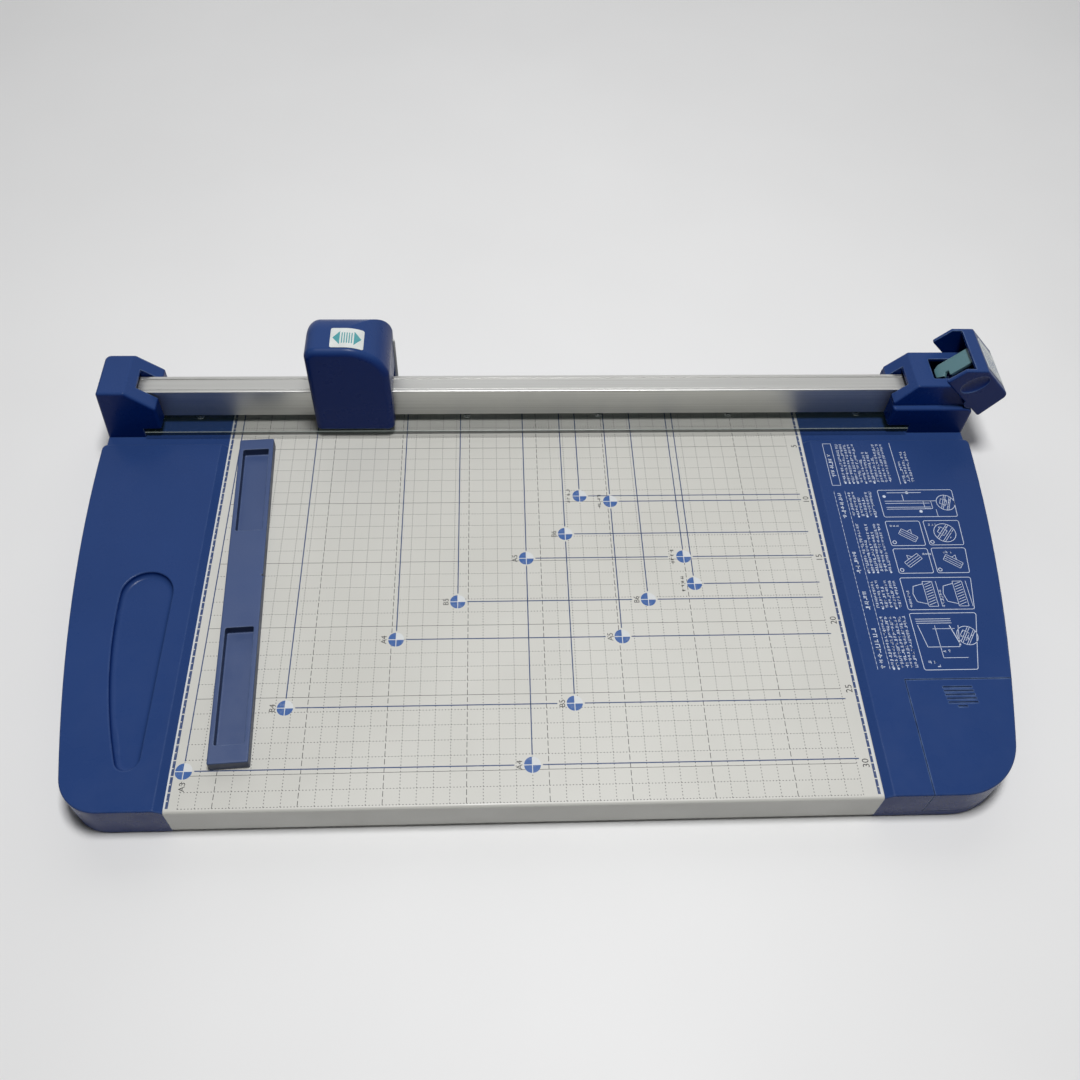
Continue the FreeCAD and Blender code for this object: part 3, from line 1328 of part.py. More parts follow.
def main():
    os.makedirs("parts", exist_ok=True)
    low = [math.inf] * 3
    high = [-math.inf] * 3
    for name, shape in nodes().items():
        shape.translate(Vector(*[-value for value in ORIGIN]))
        b = shape.optimalBoundingBox(False)
        low = [min(low[0], b.XMin), min(low[1], b.YMin), min(low[2], b.ZMin)]
        high = [max(high[0], b.XMax), max(high[1], b.YMax), max(high[2], b.ZMax)]
        shape.exportStep("parts/" + name + ".step")
        print(f"{name:20s} solids {len(shape.Solids)} valid {shape.isValid()}")
    print("box", [round(value, 2) for value in low], [round(value, 2) for value in high])


main()
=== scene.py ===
"""Looks of a rotary paper trimmer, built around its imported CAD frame.

The CAD pieces keep their shapes and get their materials here. The printing on the bed, the right panel and
the labels is added as thin closed meshes that ride on the same bodies as what they are printed on."""

import json
import math
import random

import bmesh
import bpy
from mathutils import Euler, Matrix, Vector
from mathutils.bvhtree import BVHTree


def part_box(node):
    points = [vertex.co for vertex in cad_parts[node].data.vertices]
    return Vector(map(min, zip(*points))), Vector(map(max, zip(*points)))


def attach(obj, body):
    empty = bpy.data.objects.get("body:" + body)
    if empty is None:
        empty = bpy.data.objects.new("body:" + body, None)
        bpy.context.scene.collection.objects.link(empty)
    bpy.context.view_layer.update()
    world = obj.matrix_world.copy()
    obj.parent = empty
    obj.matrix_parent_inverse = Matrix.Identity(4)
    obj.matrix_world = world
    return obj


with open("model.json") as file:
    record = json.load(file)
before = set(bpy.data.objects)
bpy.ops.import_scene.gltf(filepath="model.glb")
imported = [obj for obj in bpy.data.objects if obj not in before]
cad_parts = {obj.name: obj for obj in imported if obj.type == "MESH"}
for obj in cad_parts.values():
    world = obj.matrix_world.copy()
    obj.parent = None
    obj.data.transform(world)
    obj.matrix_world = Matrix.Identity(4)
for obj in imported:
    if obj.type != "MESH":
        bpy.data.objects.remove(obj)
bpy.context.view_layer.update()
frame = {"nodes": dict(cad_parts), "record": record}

MM = 0.001
random.seed(7)

# ---- datums, read from the frame -----------------------------------------------------------------
BED_LOW, BED_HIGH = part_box("bed_plate")
STRIP_LOW, STRIP_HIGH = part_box("cutting_strip")
PANEL_LOW, PANEL_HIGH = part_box("right_panel")
BED_RIM = 2.6 * MM  # the bed reaches this far past the paper's right edge
PAPER_RIGHT = BED_HIGH.x - BED_RIM
CUT_LINE = (STRIP_LOW.y + STRIP_HIGH.y) / 2
BED_TOP = BED_HIGH.z
PANEL_TOP = PANEL_HIGH.z

# ---- printing, in millimetres from the paper's right edge and the line of cut --------------------
INK_ABOVE = 0.012
INK_BELOW = 0.06
LINES_ABOVE = 0.018  # inks that cross are printed at different heights
WORDS_ABOVE = 0.024
HALOS_ABOVE = 0.024
QUARTERS_ABOVE = 0.032
GRID_STEP = 10
GRID_COLUMNS = 42
GRID_ROWS = 32
GRID_BACK = 5.0  # the bed's back edge is just behind this
STRONG_EVERY = 5
DOT_PITCH = 2.0
DOT_LENGTH = 0.75
DOT_WIDTH = 0.40
DASH_PITCH = 5.0
DASH_LENGTH = 3.5
THIN_LINE = 0.3
SIZE_LINE = 0.75
SIZE_LINE_RIGHT = 8.0
MARK_RADIUS = 5.1
MARK_HALO = 0.15
MARK_CROSS = 0.5
MARK_CLEAR = 6.4  # a size line stops this far from a mark's centre
LABEL_ROOM = 11.0
LABEL_GAP = 7.8
SIZES = [
    ("A3", 420, 297),
    ("B4", 364, 257),
    ("A4", 297, 210),
    ("A4", 210, 297),
    ("B5", 257, 182),
    ("B5", 182, 257),
    ("A5", 210, 148),
    ("A5", 148, 210),
    ("B6", 182, 128),
    ("B6", 128, 182),
    ("", 170, 95),
    ("", 95, 170),
    ("", 148, 100),
    ("", 100, 148),
]


# ---- meshes --------------------------------------------------------------------------------------
class Ink:
    """Collects flat closed shapes into one thin mesh.

    Shapes are given in millimetres on a plane; place turns (u, v, height) in millimetres into a point of the
    row frame in metres."""

    def __init__(self, place, above=INK_ABOVE):
        self.place = place
        self.above = above
        self.bm = bmesh.new()

    def polygon(self, points):
        """A convex outline, anticlockwise."""
        low = [self.bm.verts.new(self.place(u, v, -INK_BELOW)) for u, v in points]
        high = [self.bm.verts.new(self.place(u, v, self.above)) for u, v in points]
        self.bm.faces.new(high)
        self.bm.faces.new(list(reversed(low)))
        for i in range(len(points)):
            j = (i + 1) % len(points)
            self.bm.faces.new((low[i], low[j], high[j], high[i]))

    def bar(self, u0, u1, v0, v1):
        self.polygon([(u0, v0), (u1, v0), (u1, v1), (u0, v1)])

    def line(self, start, end, width):
        """A straight stroke between two points."""
        a = Vector(start)
        b = Vector(end)
        side = (b - a).orthogonal().normalized() * width / 2
        self.polygon([tuple(p) for p in (a - side, b - side, b + side, a + side)])

    def path(self, points, width):
        """Strokes from point to point."""
        for start, end in zip(points, points[1:]):
            self.line(start, end, width)

    def sector(self, centre, radius, start, end, steps=8):
        """A slice of a disc between two angles in degrees."""
        points = [centre]
        for i in range(steps + 1):
            angle = math.radians(start + (end - start) * i / steps)
            points.append((centre[0] + radius * math.cos(angle), centre[1] + radius * math.sin(angle)))
        self.polygon(points)

    def disc(self, centre, radius, steps=24):
        self.polygon(circle_points(centre, radius, steps))

    def ring(self, outer, inner):
        """A closed band between two outlines with the same number of points."""
        loops = []
        low = -INK_BELOW
        for points, height in ((outer, low), (outer, self.above), (inner, self.above), (inner, low)):
            loops.append([self.bm.verts.new(self.place(u, v, height)) for u, v in points])
        for k in range(4):
            this = loops[k]
            following = loops[(k + 1) % 4]
            for i in range(len(outer)):
                j = (i + 1) % len(outer)
                self.bm.faces.new((this[i], this[j], following[j], following[i]))

    def circle(self, centre, radius, width, steps=24):
        self.ring(circle_points(centre, radius, steps), circle_points(centre, radius - width, steps))

    def frame(self, corners, corner_radius, width):
        """A rounded outline through four corners, given anticlockwise."""
        self.ring(rounded(corners, corner_radius, 0.0), rounded(corners, corner_radius, width))

    def text(self, words, centre, height):
        """Words turned a quarter turn, so that they read from the right-hand side."""
        mesh = text_mesh(words, height)
        made = {}
        for face in mesh.polygons:
            corners = []
            for index in face.vertices:
                if index not in made:
                    x, y, z = mesh.vertices[index].co
                    level = self.above if z > 0 else -INK_BELOW
                    made[index] = self.bm.verts.new(self.place(centre[0] - y, centre[1] + x, level))
                corners.append(made[index])
            self.bm.faces.new(corners)
        bpy.data.meshes.remove(mesh)

    def finish(self, name, material, body):
        bmesh.ops.recalc_face_normals(self.bm, faces=self.bm.faces)
        mesh = bpy.data.meshes.new(name)
        self.bm.to_mesh(mesh)
        self.bm.free()
        mesh.materials.append(material)
        piece = bpy.data.objects.new(name, mesh)
        bpy.context.scene.collection.objects.link(piece)
        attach(piece, body)
        return piece


def circle_points(centre, radius, steps):
    points = []
    for i in range(steps):
        angle = 2 * math.pi * i / steps
        points.append((centre[0] + radius * math.cos(angle), centre[1] + radius * math.sin(angle)))
    return points


def rounded(corners, radius, inset, steps=5):
    """Points of an outline with round corners, drawn in by inset. Corners go anticlockwise."""
    points = []
    for i in range(len(corners)):
        here = Vector(corners[i])
        before = (Vector(corners[i - 1]) - here).normalized()
        after = (Vector(corners[(i + 1) % len(corners)]) - here).normalized()
        half = before.angle(after) / 2
        centre = here + (before + after).normalized() * (radius / math.sin(half))
        outward = math.atan2(here.y - centre.y, here.x - centre.x)
        sweep = math.pi / 2 - half
        for k in range(steps + 1):
            angle = outward - sweep + 2 * sweep * k / steps
            reach = radius - inset
            points.append((centre.x + reach * math.cos(angle), centre.y + reach * math.sin(angle)))
    return points


CAP_HEIGHT = 0.73  # of the font's size
WELD = 0.0005  # points of a letter closer than this are joined


def text_mesh(words, height):
    """Closed mesh of a few letters, flat and centred, with its two faces at z below and above 0."""
    curve = bpy.data.curves.new("words", "FONT")
    curve.body = words
    curve.size = height / CAP_HEIGHT
    curve.align_x = "CENTER"
    curve.align_y = "CENTER"
    curve.extrude = 0.5
    curve.resolution_u = 3
    holder = bpy.data.objects.new("words", curve)
    bpy.context.scene.collection.objects.link(holder)
    graph = bpy.context.evaluated_depsgraph_get()
    mesh = bpy.data.meshes.new_from_object(holder.evaluated_get(graph))
    bpy.data.objects.remove(holder)
    bpy.data.curves.remove(curve)
    bm = bmesh.new()
    bm.from_mesh(mesh)
    bmesh.ops.remove_doubles(bm, verts=bm.verts, dist=WELD)
    bm.to_mesh(mesh)
    bm.free()
    return mesh


# ---- materials -----------------------------------------------------------------------------------
EDGE_SAMPLES = 6
EDGE_STARTS = 0.995  # cosine of the angle between the softened and the flat normal
EDGE_FULL = 0.88


class Shader:
    """A node material with one Principled shader; its methods add nodes and return sockets."""

    def __init__(self, name):
        self.material = bpy.data.materials.new(name)
        self.material.use_nodes = True
        self.tree = self.material.node_tree
        self.bsdf = self.tree.nodes["Principled BSDF"]
        self.coordinates = self.tree.nodes.new("ShaderNodeTexCoord").outputs["Object"]

    def set(self, **values):
        for name, value in values.items():
            self.bsdf.inputs[name.replace("_", " ")].default_value = value

    def link(self, socket, name):
        self.tree.links.new(socket, self.bsdf.inputs[name])

    def scaled(self, x, y, z):
        """Object coordinates in metres, times a number on each axis."""
        node = self.tree.nodes.new("ShaderNodeMapping")
        node.inputs["Scale"].default_value = (x, y, z)
        self.tree.links.new(self.coordinates, node.inputs["Vector"])
        return node.outputs["Vector"]

    def noise(self, scale, detail=3.0, rough=0.55, vector=None):
        node = self.tree.nodes.new("ShaderNodeTexNoise")
        node.inputs["Scale"].default_value = scale
        node.inputs["Detail"].default_value = detail
        node.inputs["Roughness"].default_value = rough
        self.tree.links.new(vector or self.coordinates, node.inputs["Vector"])
        return node.outputs["Fac"]

    def cells(self, scale):
        node = self.tree.nodes.new("ShaderNodeTexVoronoi")
        node.inputs["Scale"].default_value = scale
        self.tree.links.new(self.coordinates, node.inputs["Vector"])
        return node.outputs["Distance"]

    def ramp(self, socket, low, high, start=0.0, end=1.0):
        """Map a socket from low..high to start..end, held at both ends."""
        node = self.tree.nodes.new("ShaderNodeMapRange")
        node.inputs["From Min"].default_value = low
        node.inputs["From Max"].default_value = high
        node.inputs["To Min"].default_value = start
        node.inputs["To Max"].default_value = end
        self.tree.links.new(socket, node.inputs["Value"])
        return node.outputs["Result"]

    def mix(self, factor, first, second):
        """Mix two colours, each a socket or three numbers."""
        node = self.tree.nodes.new("ShaderNodeMix")
        node.data_type = "RGBA"
        self.tree.links.new(factor, node.inputs["Factor"])
        for socket, value in ((node.inputs[6], first), (node.inputs[7], second)):
            if isinstance(value, bpy.types.NodeSocket):
                self.tree.links.new(value, socket)
            else:
                socket.default_value = (*value, 1.0)
        return node.outputs[2]

    def math(self, operation, first, second):
        node = self.tree.nodes.new("ShaderNodeMath")
        node.operation = operation
        for socket, value in zip(node.inputs, (first, second)):
            if isinstance(value, bpy.types.NodeSocket):
                self.tree.links.new(value, socket)
            else:
                socket.default_value = value
        return node.outputs["Value"]

    def bump(self, height, distance, strength=1.0, normal=None):
        """Bump from a height socket, where a height of 1 stands distance metres proud."""
        node = self.tree.nodes.new("ShaderNodeBump")
        node.inputs["Strength"].default_value = strength
        node.inputs["Distance"].default_value = distance
        self.tree.links.new(height, node.inputs["Height"])
        if normal is not None:
            self.tree.links.new(normal, node.inputs["Normal"])
        self.tree.links.new(node.outputs["Normal"], self.bsdf.inputs["Normal"])

    def softened(self, radius):
        """The surface's normal, with its edges rounded by a radius in metres."""
        node = self.tree.nodes.new("ShaderNodeBevel")
        node.samples = EDGE_SAMPLES
        node.inputs["Radius"].default_value = radius
        return node.outputs["Normal"]

    def flat(self):
        """The surface's own normal."""
        return self.tree.nodes.new("ShaderNodeNewGeometry").outputs["Normal"]

    def facing(self, axis, normal):
        """How far a normal points along X, Y or Z."""
        split = self.tree.nodes.new("ShaderNodeSeparateXYZ")
        self.tree.links.new(normal, split.inputs[0])
        return split.outputs[axis]

    def edges(self, soft_normal):
        """1 along the edges that the softened normal rounds, and 0 on flat faces."""
        dot = self.tree.nodes.new("ShaderNodeVectorMath")
        dot.operation = "DOT_PRODUCT"
        self.tree.links.new(soft_normal, dot.inputs[0])
        self.tree.links.new(self.flat(), dot.inputs[1])
        return self.ramp(dot.outputs["Value"], EDGE_STARTS, EDGE_FULL)


GRAIN = 0.02 * MM  # height of the moulded texture


def moulded_plastic(name, colour, edge_wear_and_highlight, rough=0.42, gloss=0.5, painted_wall_shade=None):
    """Fine-textured moulded plastic: slight mottling, handling marks, and paler edges, partly wear and
    partly a painted highlight.

    The colour given for sides and slopes is a painted shade: faces that turn away from straight up take this
    darker colour."""
    s = Shader(name)
    s.set(Specular_IOR_Level=gloss)
    deep = tuple(0.92 * c for c in colour)
    mottled = s.mix(s.ramp(s.noise(14.0, 4.0), 0.3, 0.7), deep, colour)
    soft_normal = s.softened(1.3 * MM)
    rubbed = s.edges(soft_normal)
    # Paler edges: partly wear, partly a painted highlight along the rounded edges.
    edge_wear_and_highlight_mask = s.math("MULTIPLY", rubbed, s.ramp(s.noise(160.0, 4.0), 0.35, 0.62, 0.35, 1.0))
    if painted_wall_shade:
        # Painted shade: faces that turn away from straight up take the darker side colour.
        mottled = s.mix(s.ramp(s.facing("Z", s.flat()), 0.75, 0.15), mottled, painted_wall_shade)
    s.link(s.mix(edge_wear_and_highlight_mask, mottled, edge_wear_and_highlight), "Base Color")
    smudges = s.ramp(s.noise(38.0, 5.0, 0.62), 0.38, 0.66, rough - 0.06, rough + 0.1)
    s.link(smudges, "Roughness")
    s.bump(s.noise(2600.0, 2.0), GRAIN, 0.6, soft_normal)
    return s.material


def blue_plastic():
    # Painted shade: the darker colour that sides and slopes take.
    shaded_blue = (0.001, 0.018, 0.132)
    return moulded_plastic(
        "blue_plastic", (0.022, 0.054, 0.182), (0.14, 0.21, 0.38), rough=0.3, gloss=0.12, painted_wall_shade=shaded_blue
    )


def stop_plastic():
    """The stop's plastic is a little greyer and more rubbed than the rest."""
    # Painted shade: the darker colour that sides and slopes take.
    shaded_slate = (0.021, 0.037, 0.092)
    return moulded_plastic(
        "stop_plastic", (0.046, 0.080, 0.200), (0.12, 0.17, 0.30), rough=0.44, painted_wall_shade=shaded_slate
    )


def pale_plastic():
    return moulded_plastic("pale_plastic", (0.62, 0.63, 0.60), (0.74, 0.75, 0.72))


def black_plastic():
    return moulded_plastic("black_plastic", (0.012, 0.012, 0.014), (0.05, 0.05, 0.055))


def grey_plastic():
    return moulded_plastic("grey_plastic", (0.50, 0.52, 0.51), (0.64, 0.65, 0.64), rough=0.38)


def teal_plastic():
    return moulded_plastic("teal_plastic", (0.105, 0.225, 0.255), (0.22, 0.37, 0.39), rough=0.3)


def bed_paint():
    """Warm grey enamel on sheet steel: faint orange peel, dust and rubbed patches where paper slides."""
    s = Shader("bed_paint")
    broad = s.mix(s.ramp(s.noise(5.0, 4.0), 0.35, 0.65), (0.585, 0.580, 0.540), (0.625, 0.620, 0.580))
    speck = s.ramp(s.noise(1500.0, 2.0), 0.66, 0.74, 0.0, 0.35)
    speckled = s.mix(speck, broad, (0.36, 0.35, 0.33))
    soft_normal = s.softened(0.5 * MM)
    rubbed = s.edges(soft_normal)
    s.link(s.mix(s.math("MULTIPLY", rubbed, 0.4), speckled, (0.66, 0.65, 0.62)), "Base Color")
    s.link(s.ramp(s.noise(22.0, 5.0, 0.6), 0.36, 0.66, 0.34, 0.5), "Roughness")
    s.bump(s.noise(420.0, 2.0), 0.02 * MM, 0.5, soft_normal)
    return s.material


def aluminium():
    """Extruded, brushed along its length and clear anodised."""
    s = Shader("aluminium")
    s.set(Metallic=1.0)
    drawn = s.scaled(0.6, 260.0, 260.0)
    fine = s.scaled(9.0, 2600.0, 2600.0)
    streak = s.noise(6.0, 3.0, vector=drawn)
    hair = s.noise(1.0, 2.0, vector=fine)
    s.link(s.mix(s.ramp(streak, 0.3, 0.7), (0.62, 0.62, 0.60), (0.72, 0.72, 0.70)), "Base Color")
    s.link(s.ramp(hair, 0.3, 0.7, 0.36, 0.5), "Roughness")
    s.bump(hair, 0.006 * MM, 0.7, s.softened(0.3 * MM))
    return s.material


def steel(name, colour, rough, length_scale):
    """Bright steel with fine turning or drawing lines."""
    s = Shader(name)
    s.set(Metallic=1.0)
    lines = s.noise(length_scale, 3.0)
    spots = s.noise(600.0, 4.0)
    dull = tuple(0.72 * c for c in colour)
    s.link(s.mix(s.ramp(spots, 0.52, 0.72), colour, dull), "Base Color")
    s.link(s.ramp(lines, 0.3, 0.7, rough - 0.06, rough + 0.1), "Roughness")
    s.bump(lines, 0.008 * MM, 0.5, s.softened(0.15 * MM))
    return s.material


def clear_plastic():
    """Clear acrylic with a green-grey tint, hazed by fine scratches along its length.

    Its front face carries a painted shade, darker and less clear, and the rounded upper edge of that face
    carries a painted highlight."""
    s = Shader("clear_plastic")
    s.set(IOR=1.49)
    scratches = s.noise(1.0, 4.0, 0.7, s.scaled(14.0, 900.0, 900.0))
    haze = s.noise(26.0, 4.0)
    tint = s.mix(s.ramp(haze, 0.35, 0.65), (0.008, 0.018, 0.016), (0.014, 0.026, 0.023))
    frontward = s.math("MULTIPLY", s.facing("Y", s.softened(1.2 * MM)), -1.0)
    # Painted shade: faces that look to the front get the dark tint and more opacity.
    face = s.ramp(frontward, 0.7, 0.9)
    # Painted highlight: the rounded upper edge of the front face is painted pale.
    painted_rim_highlight = s.math("SUBTRACT", s.ramp(frontward, 0.1, 0.4), face)
    s.link(s.mix(painted_rim_highlight, tint, (0.42, 0.48, 0.45)), "Base Color")
    s.link(s.ramp(scratches, 0.35, 0.75, 0.1, 0.3), "Roughness")
    clouded = s.ramp(scratches, 0.3, 0.8, 0.15, 0.21)
    lit_and_shaded_front_alpha = s.math("ADD", s.math("MULTIPLY", painted_rim_highlight, 0.4), s.math("MULTIPLY", face, 0.6))
    s.link(s.math("ADD", clouded, lit_and_shaded_front_alpha), "Alpha")
    s.bump(scratches, 0.006 * MM, 0.4, s.softened(0.5 * MM))
    return s.material


def rubber():
    s = Shader("rubber")
    dust = s.ramp(s.noise(300.0, 5.0), 0.45, 0.75)
    s.link(s.mix(dust, (0.018, 0.018, 0.019), (0.06, 0.06, 0.058)), "Base Color")
    s.link(s.ramp(s.noise(90.0), 0.3, 0.7, 0.7, 0.9), "Roughness")
    s.bump(s.noise(1900.0), 0.04 * MM, 0.7)
    return s.material


def felt():
    s = Shader("felt")
    fibres = s.noise(2200.0, 6.0, 0.7)
    s.link(s.mix(s.ramp(fibres, 0.35, 0.65), (0.02, 0.02, 0.025), (0.07, 0.07, 0.08)), "Base Color")
    s.set(Roughness=0.95)
    s.bump(fibres, 0.2 * MM, 0.8)
    return s.material


def ferrite():
    s = Shader("ferrite")
    grains = s.cells(1400.0)
    s.link(s.mix(s.ramp(grains, 0.2, 0.8), (0.03, 0.03, 0.032), (0.08, 0.08, 0.082)), "Base Color")
    s.link(s.ramp(s.noise(400.0), 0.3, 0.7, 0.5, 0.7), "Roughness")
    s.bump(grains, 0.03 * MM, 0.6)
    return s.material


def label_film():
    """Satin printed film with a slightly yellowed, finger-marked face."""
    s = Shader("label_film")
    yellowed = s.ramp(s.noise(90.0, 4.0), 0.35, 0.65)
    s.link(s.mix(yellowed, (0.60, 0.63, 0.61), (0.68, 0.71, 0.69)), "Base Color")
    s.link(s.ramp(s.noise(240.0, 4.0), 0.35, 0.65, 0.32, 0.5), "Roughness")
    s.bump(s.noise(900.0), 0.01 * MM, 0.4)
    return s.material


def ink(name, colour, faded, wear=0.25):
    """Screen-printed ink, thin where it has been rubbed."""
    s = Shader(name)
    rubbed = s.ramp(s.noise(420.0, 4.0, 0.65), 0.5, 0.8, 0.0, wear)
    s.link(s.mix(rubbed, colour, faded), "Base Color")
    s.link(s.ramp(s.noise(60.0, 3.0), 0.35, 0.65, 0.4, 0.55), "Roughness")
    s.bump(s.noise(1500.0, 2.0), 0.01 * MM, 0.4)
    return s.material


MATERIALS = {
    "grey_bed": bed_paint(),
    "zinc_steel": steel("zinc_steel", (0.50, 0.51, 0.52), 0.38, 500.0),
    "blue_plastic": blue_plastic(),
    "slate_plastic": stop_plastic(),
    "pale_plastic": pale_plastic(),
    "black_plastic": black_plastic(),
    "grey_plastic": grey_plastic(),
    "teal_plastic": teal_plastic(),
    "clear_plastic": clear_plastic(),
    "label": label_film(),
    "steel": steel("bright_steel", (0.60, 0.60, 0.61), 0.24, 1400.0),
    "blade_steel": steel("blade_steel", (0.66, 0.66, 0.67), 0.16, 2600.0),
    "aluminium": aluminium(),
    "rubber": rubber(),
    "magnet": ferrite(),
    "felt": felt(),
}
PAINT = (0.58, 0.57, 0.54)
BLUE_INK = ink("blue_ink", (0.030, 0.105, 0.330), PAINT)
LINE_INK = ink("line_ink", (0.022, 0.052, 0.160), PAINT)
DARK_INK = ink("dark_ink", (0.035, 0.035, 0.036), PAINT)
WHITE_INK = ink("white_ink", (0.64, 0.66, 0.67), PAINT)
PANEL_INK = ink("panel_ink", (0.60, 0.66, 0.78), (0.10, 0.15, 0.30), wear=0.3)
TEAL_INK = ink("teal_ink", (0.060, 0.300, 0.330), (0.5, 0.6, 0.58))


def paint_cad_nodes():
    """Give every CAD node the material of its slot in the record."""
    for part in frame["record"]["subparts"]:
        mesh = frame["nodes"][part["node"]].data
        mesh.materials.clear()
        mesh.materials.append(MATERIALS[part["material_slot"]])


# ---- printing on the bed -------------------------------------------------------------------------
def on_bed(u, v, height):
    return Vector((PAPER_RIGHT + u * MM, CUT_LINE + v * MM, BED_TOP + height * MM))


def dashes(stroke, start, end, pitch, length):
    """Call stroke(from, to) for each dash of a broken line."""
    at = start
    while at + length <= end:
        stroke(at, at + length)
        at += pitch


def print_grid():
    """Centimetre grid: dotted, with every fifth row solid and every fifth column dashed."""
    half = DOT_WIDTH / 2
    front = -GRID_STEP * GRID_ROWS
    left = -GRID_STEP * GRID_COLUMNS
    columns = Ink(on_bed)
    for i in range(1, GRID_COLUMNS + 1):
        u = -GRID_STEP * i

        def upright(start, end):
            columns.bar(u - half, u + half, start, end)

        if i % STRONG_EVERY == 0:
            dashes(upright, front, -GRID_BACK, DASH_PITCH, DASH_LENGTH)
        else:
            dashes(upright, front, -GRID_BACK, DOT_PITCH, DOT_LENGTH)
    columns.finish("grid_columns", DARK_INK, "base")
    rows = Ink(on_bed)
    for j in range(1, GRID_ROWS + 1):
        v = -GRID_STEP * j

        def level(start, end):
            rows.bar(start, end, v - half, v + half)

        if j % STRONG_EVERY == 0:
            rows.bar(left, -GRID_STEP, v - THIN_LINE / 2, v + THIN_LINE / 2)
        else:
            dashes(level, left, -GRID_STEP, DOT_PITCH, DOT_LENGTH)
    rows.finish("grid_rows", DARK_INK, "base")


def spans(start, end, breaks):
    """What is left of start..end when the breaks, each (from, to), are taken out."""
    left = []
    for low, high in sorted(breaks):
        if low > start:
            left.append((start, min(low, end)))
        start = max(start, high)
    if start < end:
        left.append((start, end))
    return left


def print_size_lines():
    """Blue lines from each paper-size mark up to the cut and across to the right."""
    lines = Ink(on_bed, above=LINES_ABOVE)
    half = SIZE_LINE / 2
    for width in sorted({w for name, w, h in SIZES}):
        depths = [h for name, w, h in SIZES if w == width]
        breaks = [(-h - MARK_CLEAR, -h + MARK_CLEAR) for h in depths]
        for low, high in spans(-max(depths), -GRID_BACK, breaks):
            lines.bar(-width - half, -width + half, low, high)
    for depth in sorted({h for name, w, h in SIZES}):
        widths = [w for name, w, h in SIZES if h == depth]
        breaks = [(-w - LABEL_ROOM, -w + MARK_CLEAR) for w in widths]
        for low, high in spans(-max(widths), -SIZE_LINE_RIGHT, breaks):
            lines.bar(low, high, -depth - half, -depth + half)
    lines.finish("size_lines", LINE_INK, "base")


def print_marks():
    """Round marks with three blue quarters, on a white halo."""
    halos = Ink(on_bed, above=HALOS_ABOVE)
    quarters = Ink(on_bed, above=QUARTERS_ABOVE)
    gap = MARK_CROSS / 2
    for name, width, depth in SIZES:
        halos.disc((-width, -depth), MARK_RADIUS + MARK_HALO, 28)
        for start, du, dv in ((90, -gap, gap), (180, -gap, -gap), (270, gap, -gap)):
            quarters.sector((-width + du, -depth + dv), MARK_RADIUS - gap, start, start + 90)
    halos.finish("mark_halos", WHITE_INK, "base")
    quarters.finish("mark_quarters", BLUE_INK, "base")


SIZE_LETTER = 3.8
SCALE_LETTER = 4.4
SCALE_MIDDLE = -4.2
LARGEST_NAME_OFFSET = (0.7, -9.6)  # the largest size has its name in front of its mark
SIGN = 2.6
SIGN_PITCH = 3.2


def print_bed_words():
    """Paper-size names beside the marks and the centimetre scale at the right."""
    words = Ink(on_bed, above=WORDS_ABOVE)
    for name, width, depth in SIZES:
        if name == "A3":
            right, back = LARGEST_NAME_OFFSET
            words.text(name, (-width + right, -depth + back), SIZE_LETTER)
        elif name:
            words.text(name, (-width - LABEL_GAP, -depth), SIZE_LETTER)
        else:
            for i in range(4):
                v = -depth + SIGN_PITCH * (i - 1.5)
                greek_letter(words, -width - LABEL_GAP, v, SIGN)
    for centimetres in range(5, 31, 5):
        words.text(str(centimetres), (SCALE_MIDDLE, -10.0 * centimetres), SCALE_LETTER)
    words.finish("bed_words", DARK_INK, "base")


BAND_WIDTH = 1.7
BAND_GAP = 0.7
BAND_LINE = 0.9
BAND_LINE_GAP = 0.25
BAND_RIGHT = -1.1
BAND_LEFT = -425.5


def print_tick_bands():
    """Blue bands down both sides of the bed, cut every centimetre and notched between, with a white line."""
    blue = Ink(on_bed)
    white = Ink(on_bed)
    for inner, way in ((BAND_RIGHT, 1), (BAND_LEFT, -1)):
        middle = inner + way * BAND_WIDTH * 0.45
        outer = inner + way * BAND_WIDTH
        for j in range(GRID_ROWS):
            back = -GRID_STEP * j - BAND_GAP / 2
            front = back - GRID_STEP + BAND_GAP
            centre = (back + front) / 2
            if j == 0:
                back = -GRID_BACK
            blue.bar(*sorted((inner, outer)), front, max(front, centre - BAND_GAP / 2))
            blue.bar(*sorted((inner, outer)), min(back, centre + BAND_GAP / 2), back)
            blue.bar(*sorted((inner, middle)), centre - BAND_GAP / 2, min(back, centre + BAND_GAP / 2))
        near_edge = outer + way * BAND_LINE_GAP
        front_end = -GRID_STEP * GRID_ROWS
        white.bar(*sorted((near_edge, near_edge + way * BAND_LINE)), front_end, -GRID_BACK)
    blue.finish("tick_bands", LINE_INK, "base")
    white.finish("band_lines", WHITE_INK, "base")


# ---- printing on the right panel -----------------------------------------------------------------
PRINT_LINE = 0.42
FINE_LINE = 0.35
TEXT_PITCH = 3.1
LETTER = 2.1
LETTER_PITCH = 2.4
HEADING_LETTER = 3.2
HEADING_PITCH = 1.18 * HEADING_LETTER
CAPTION_LETTER = 1.9
CAPTION_PITCH = 2.3
SPOT_RADIUS = 1.2
SPOT_STEPS = 12


def on_panel(u, v, height):
    return Vector((PAPER_RIGHT + u * MM, CUT_LINE + v * MM, PANEL_TOP + height * MM))


def greek_letter(ink_mesh, u, v, size):
    """A meaningless sign of a few strokes, so that printing reads as texture and says nothing."""
    stroke = size * 0.17
    half = size / 2
    left = u - half
    for i in range(2):
        at = v - half + size * random.uniform(0.08, 0.92)
        length = size * random.uniform(0.6, 1.0)
        ink_mesh.bar(left, left + length, at - stroke / 2, at + stroke / 2)
    across = left + size * random.uniform(0.1, 0.9)
    length = size * random.uniform(0.6, 1.0)
    ink_mesh.bar(across - stroke / 2, across + stroke / 2, v - half, v - half + length)


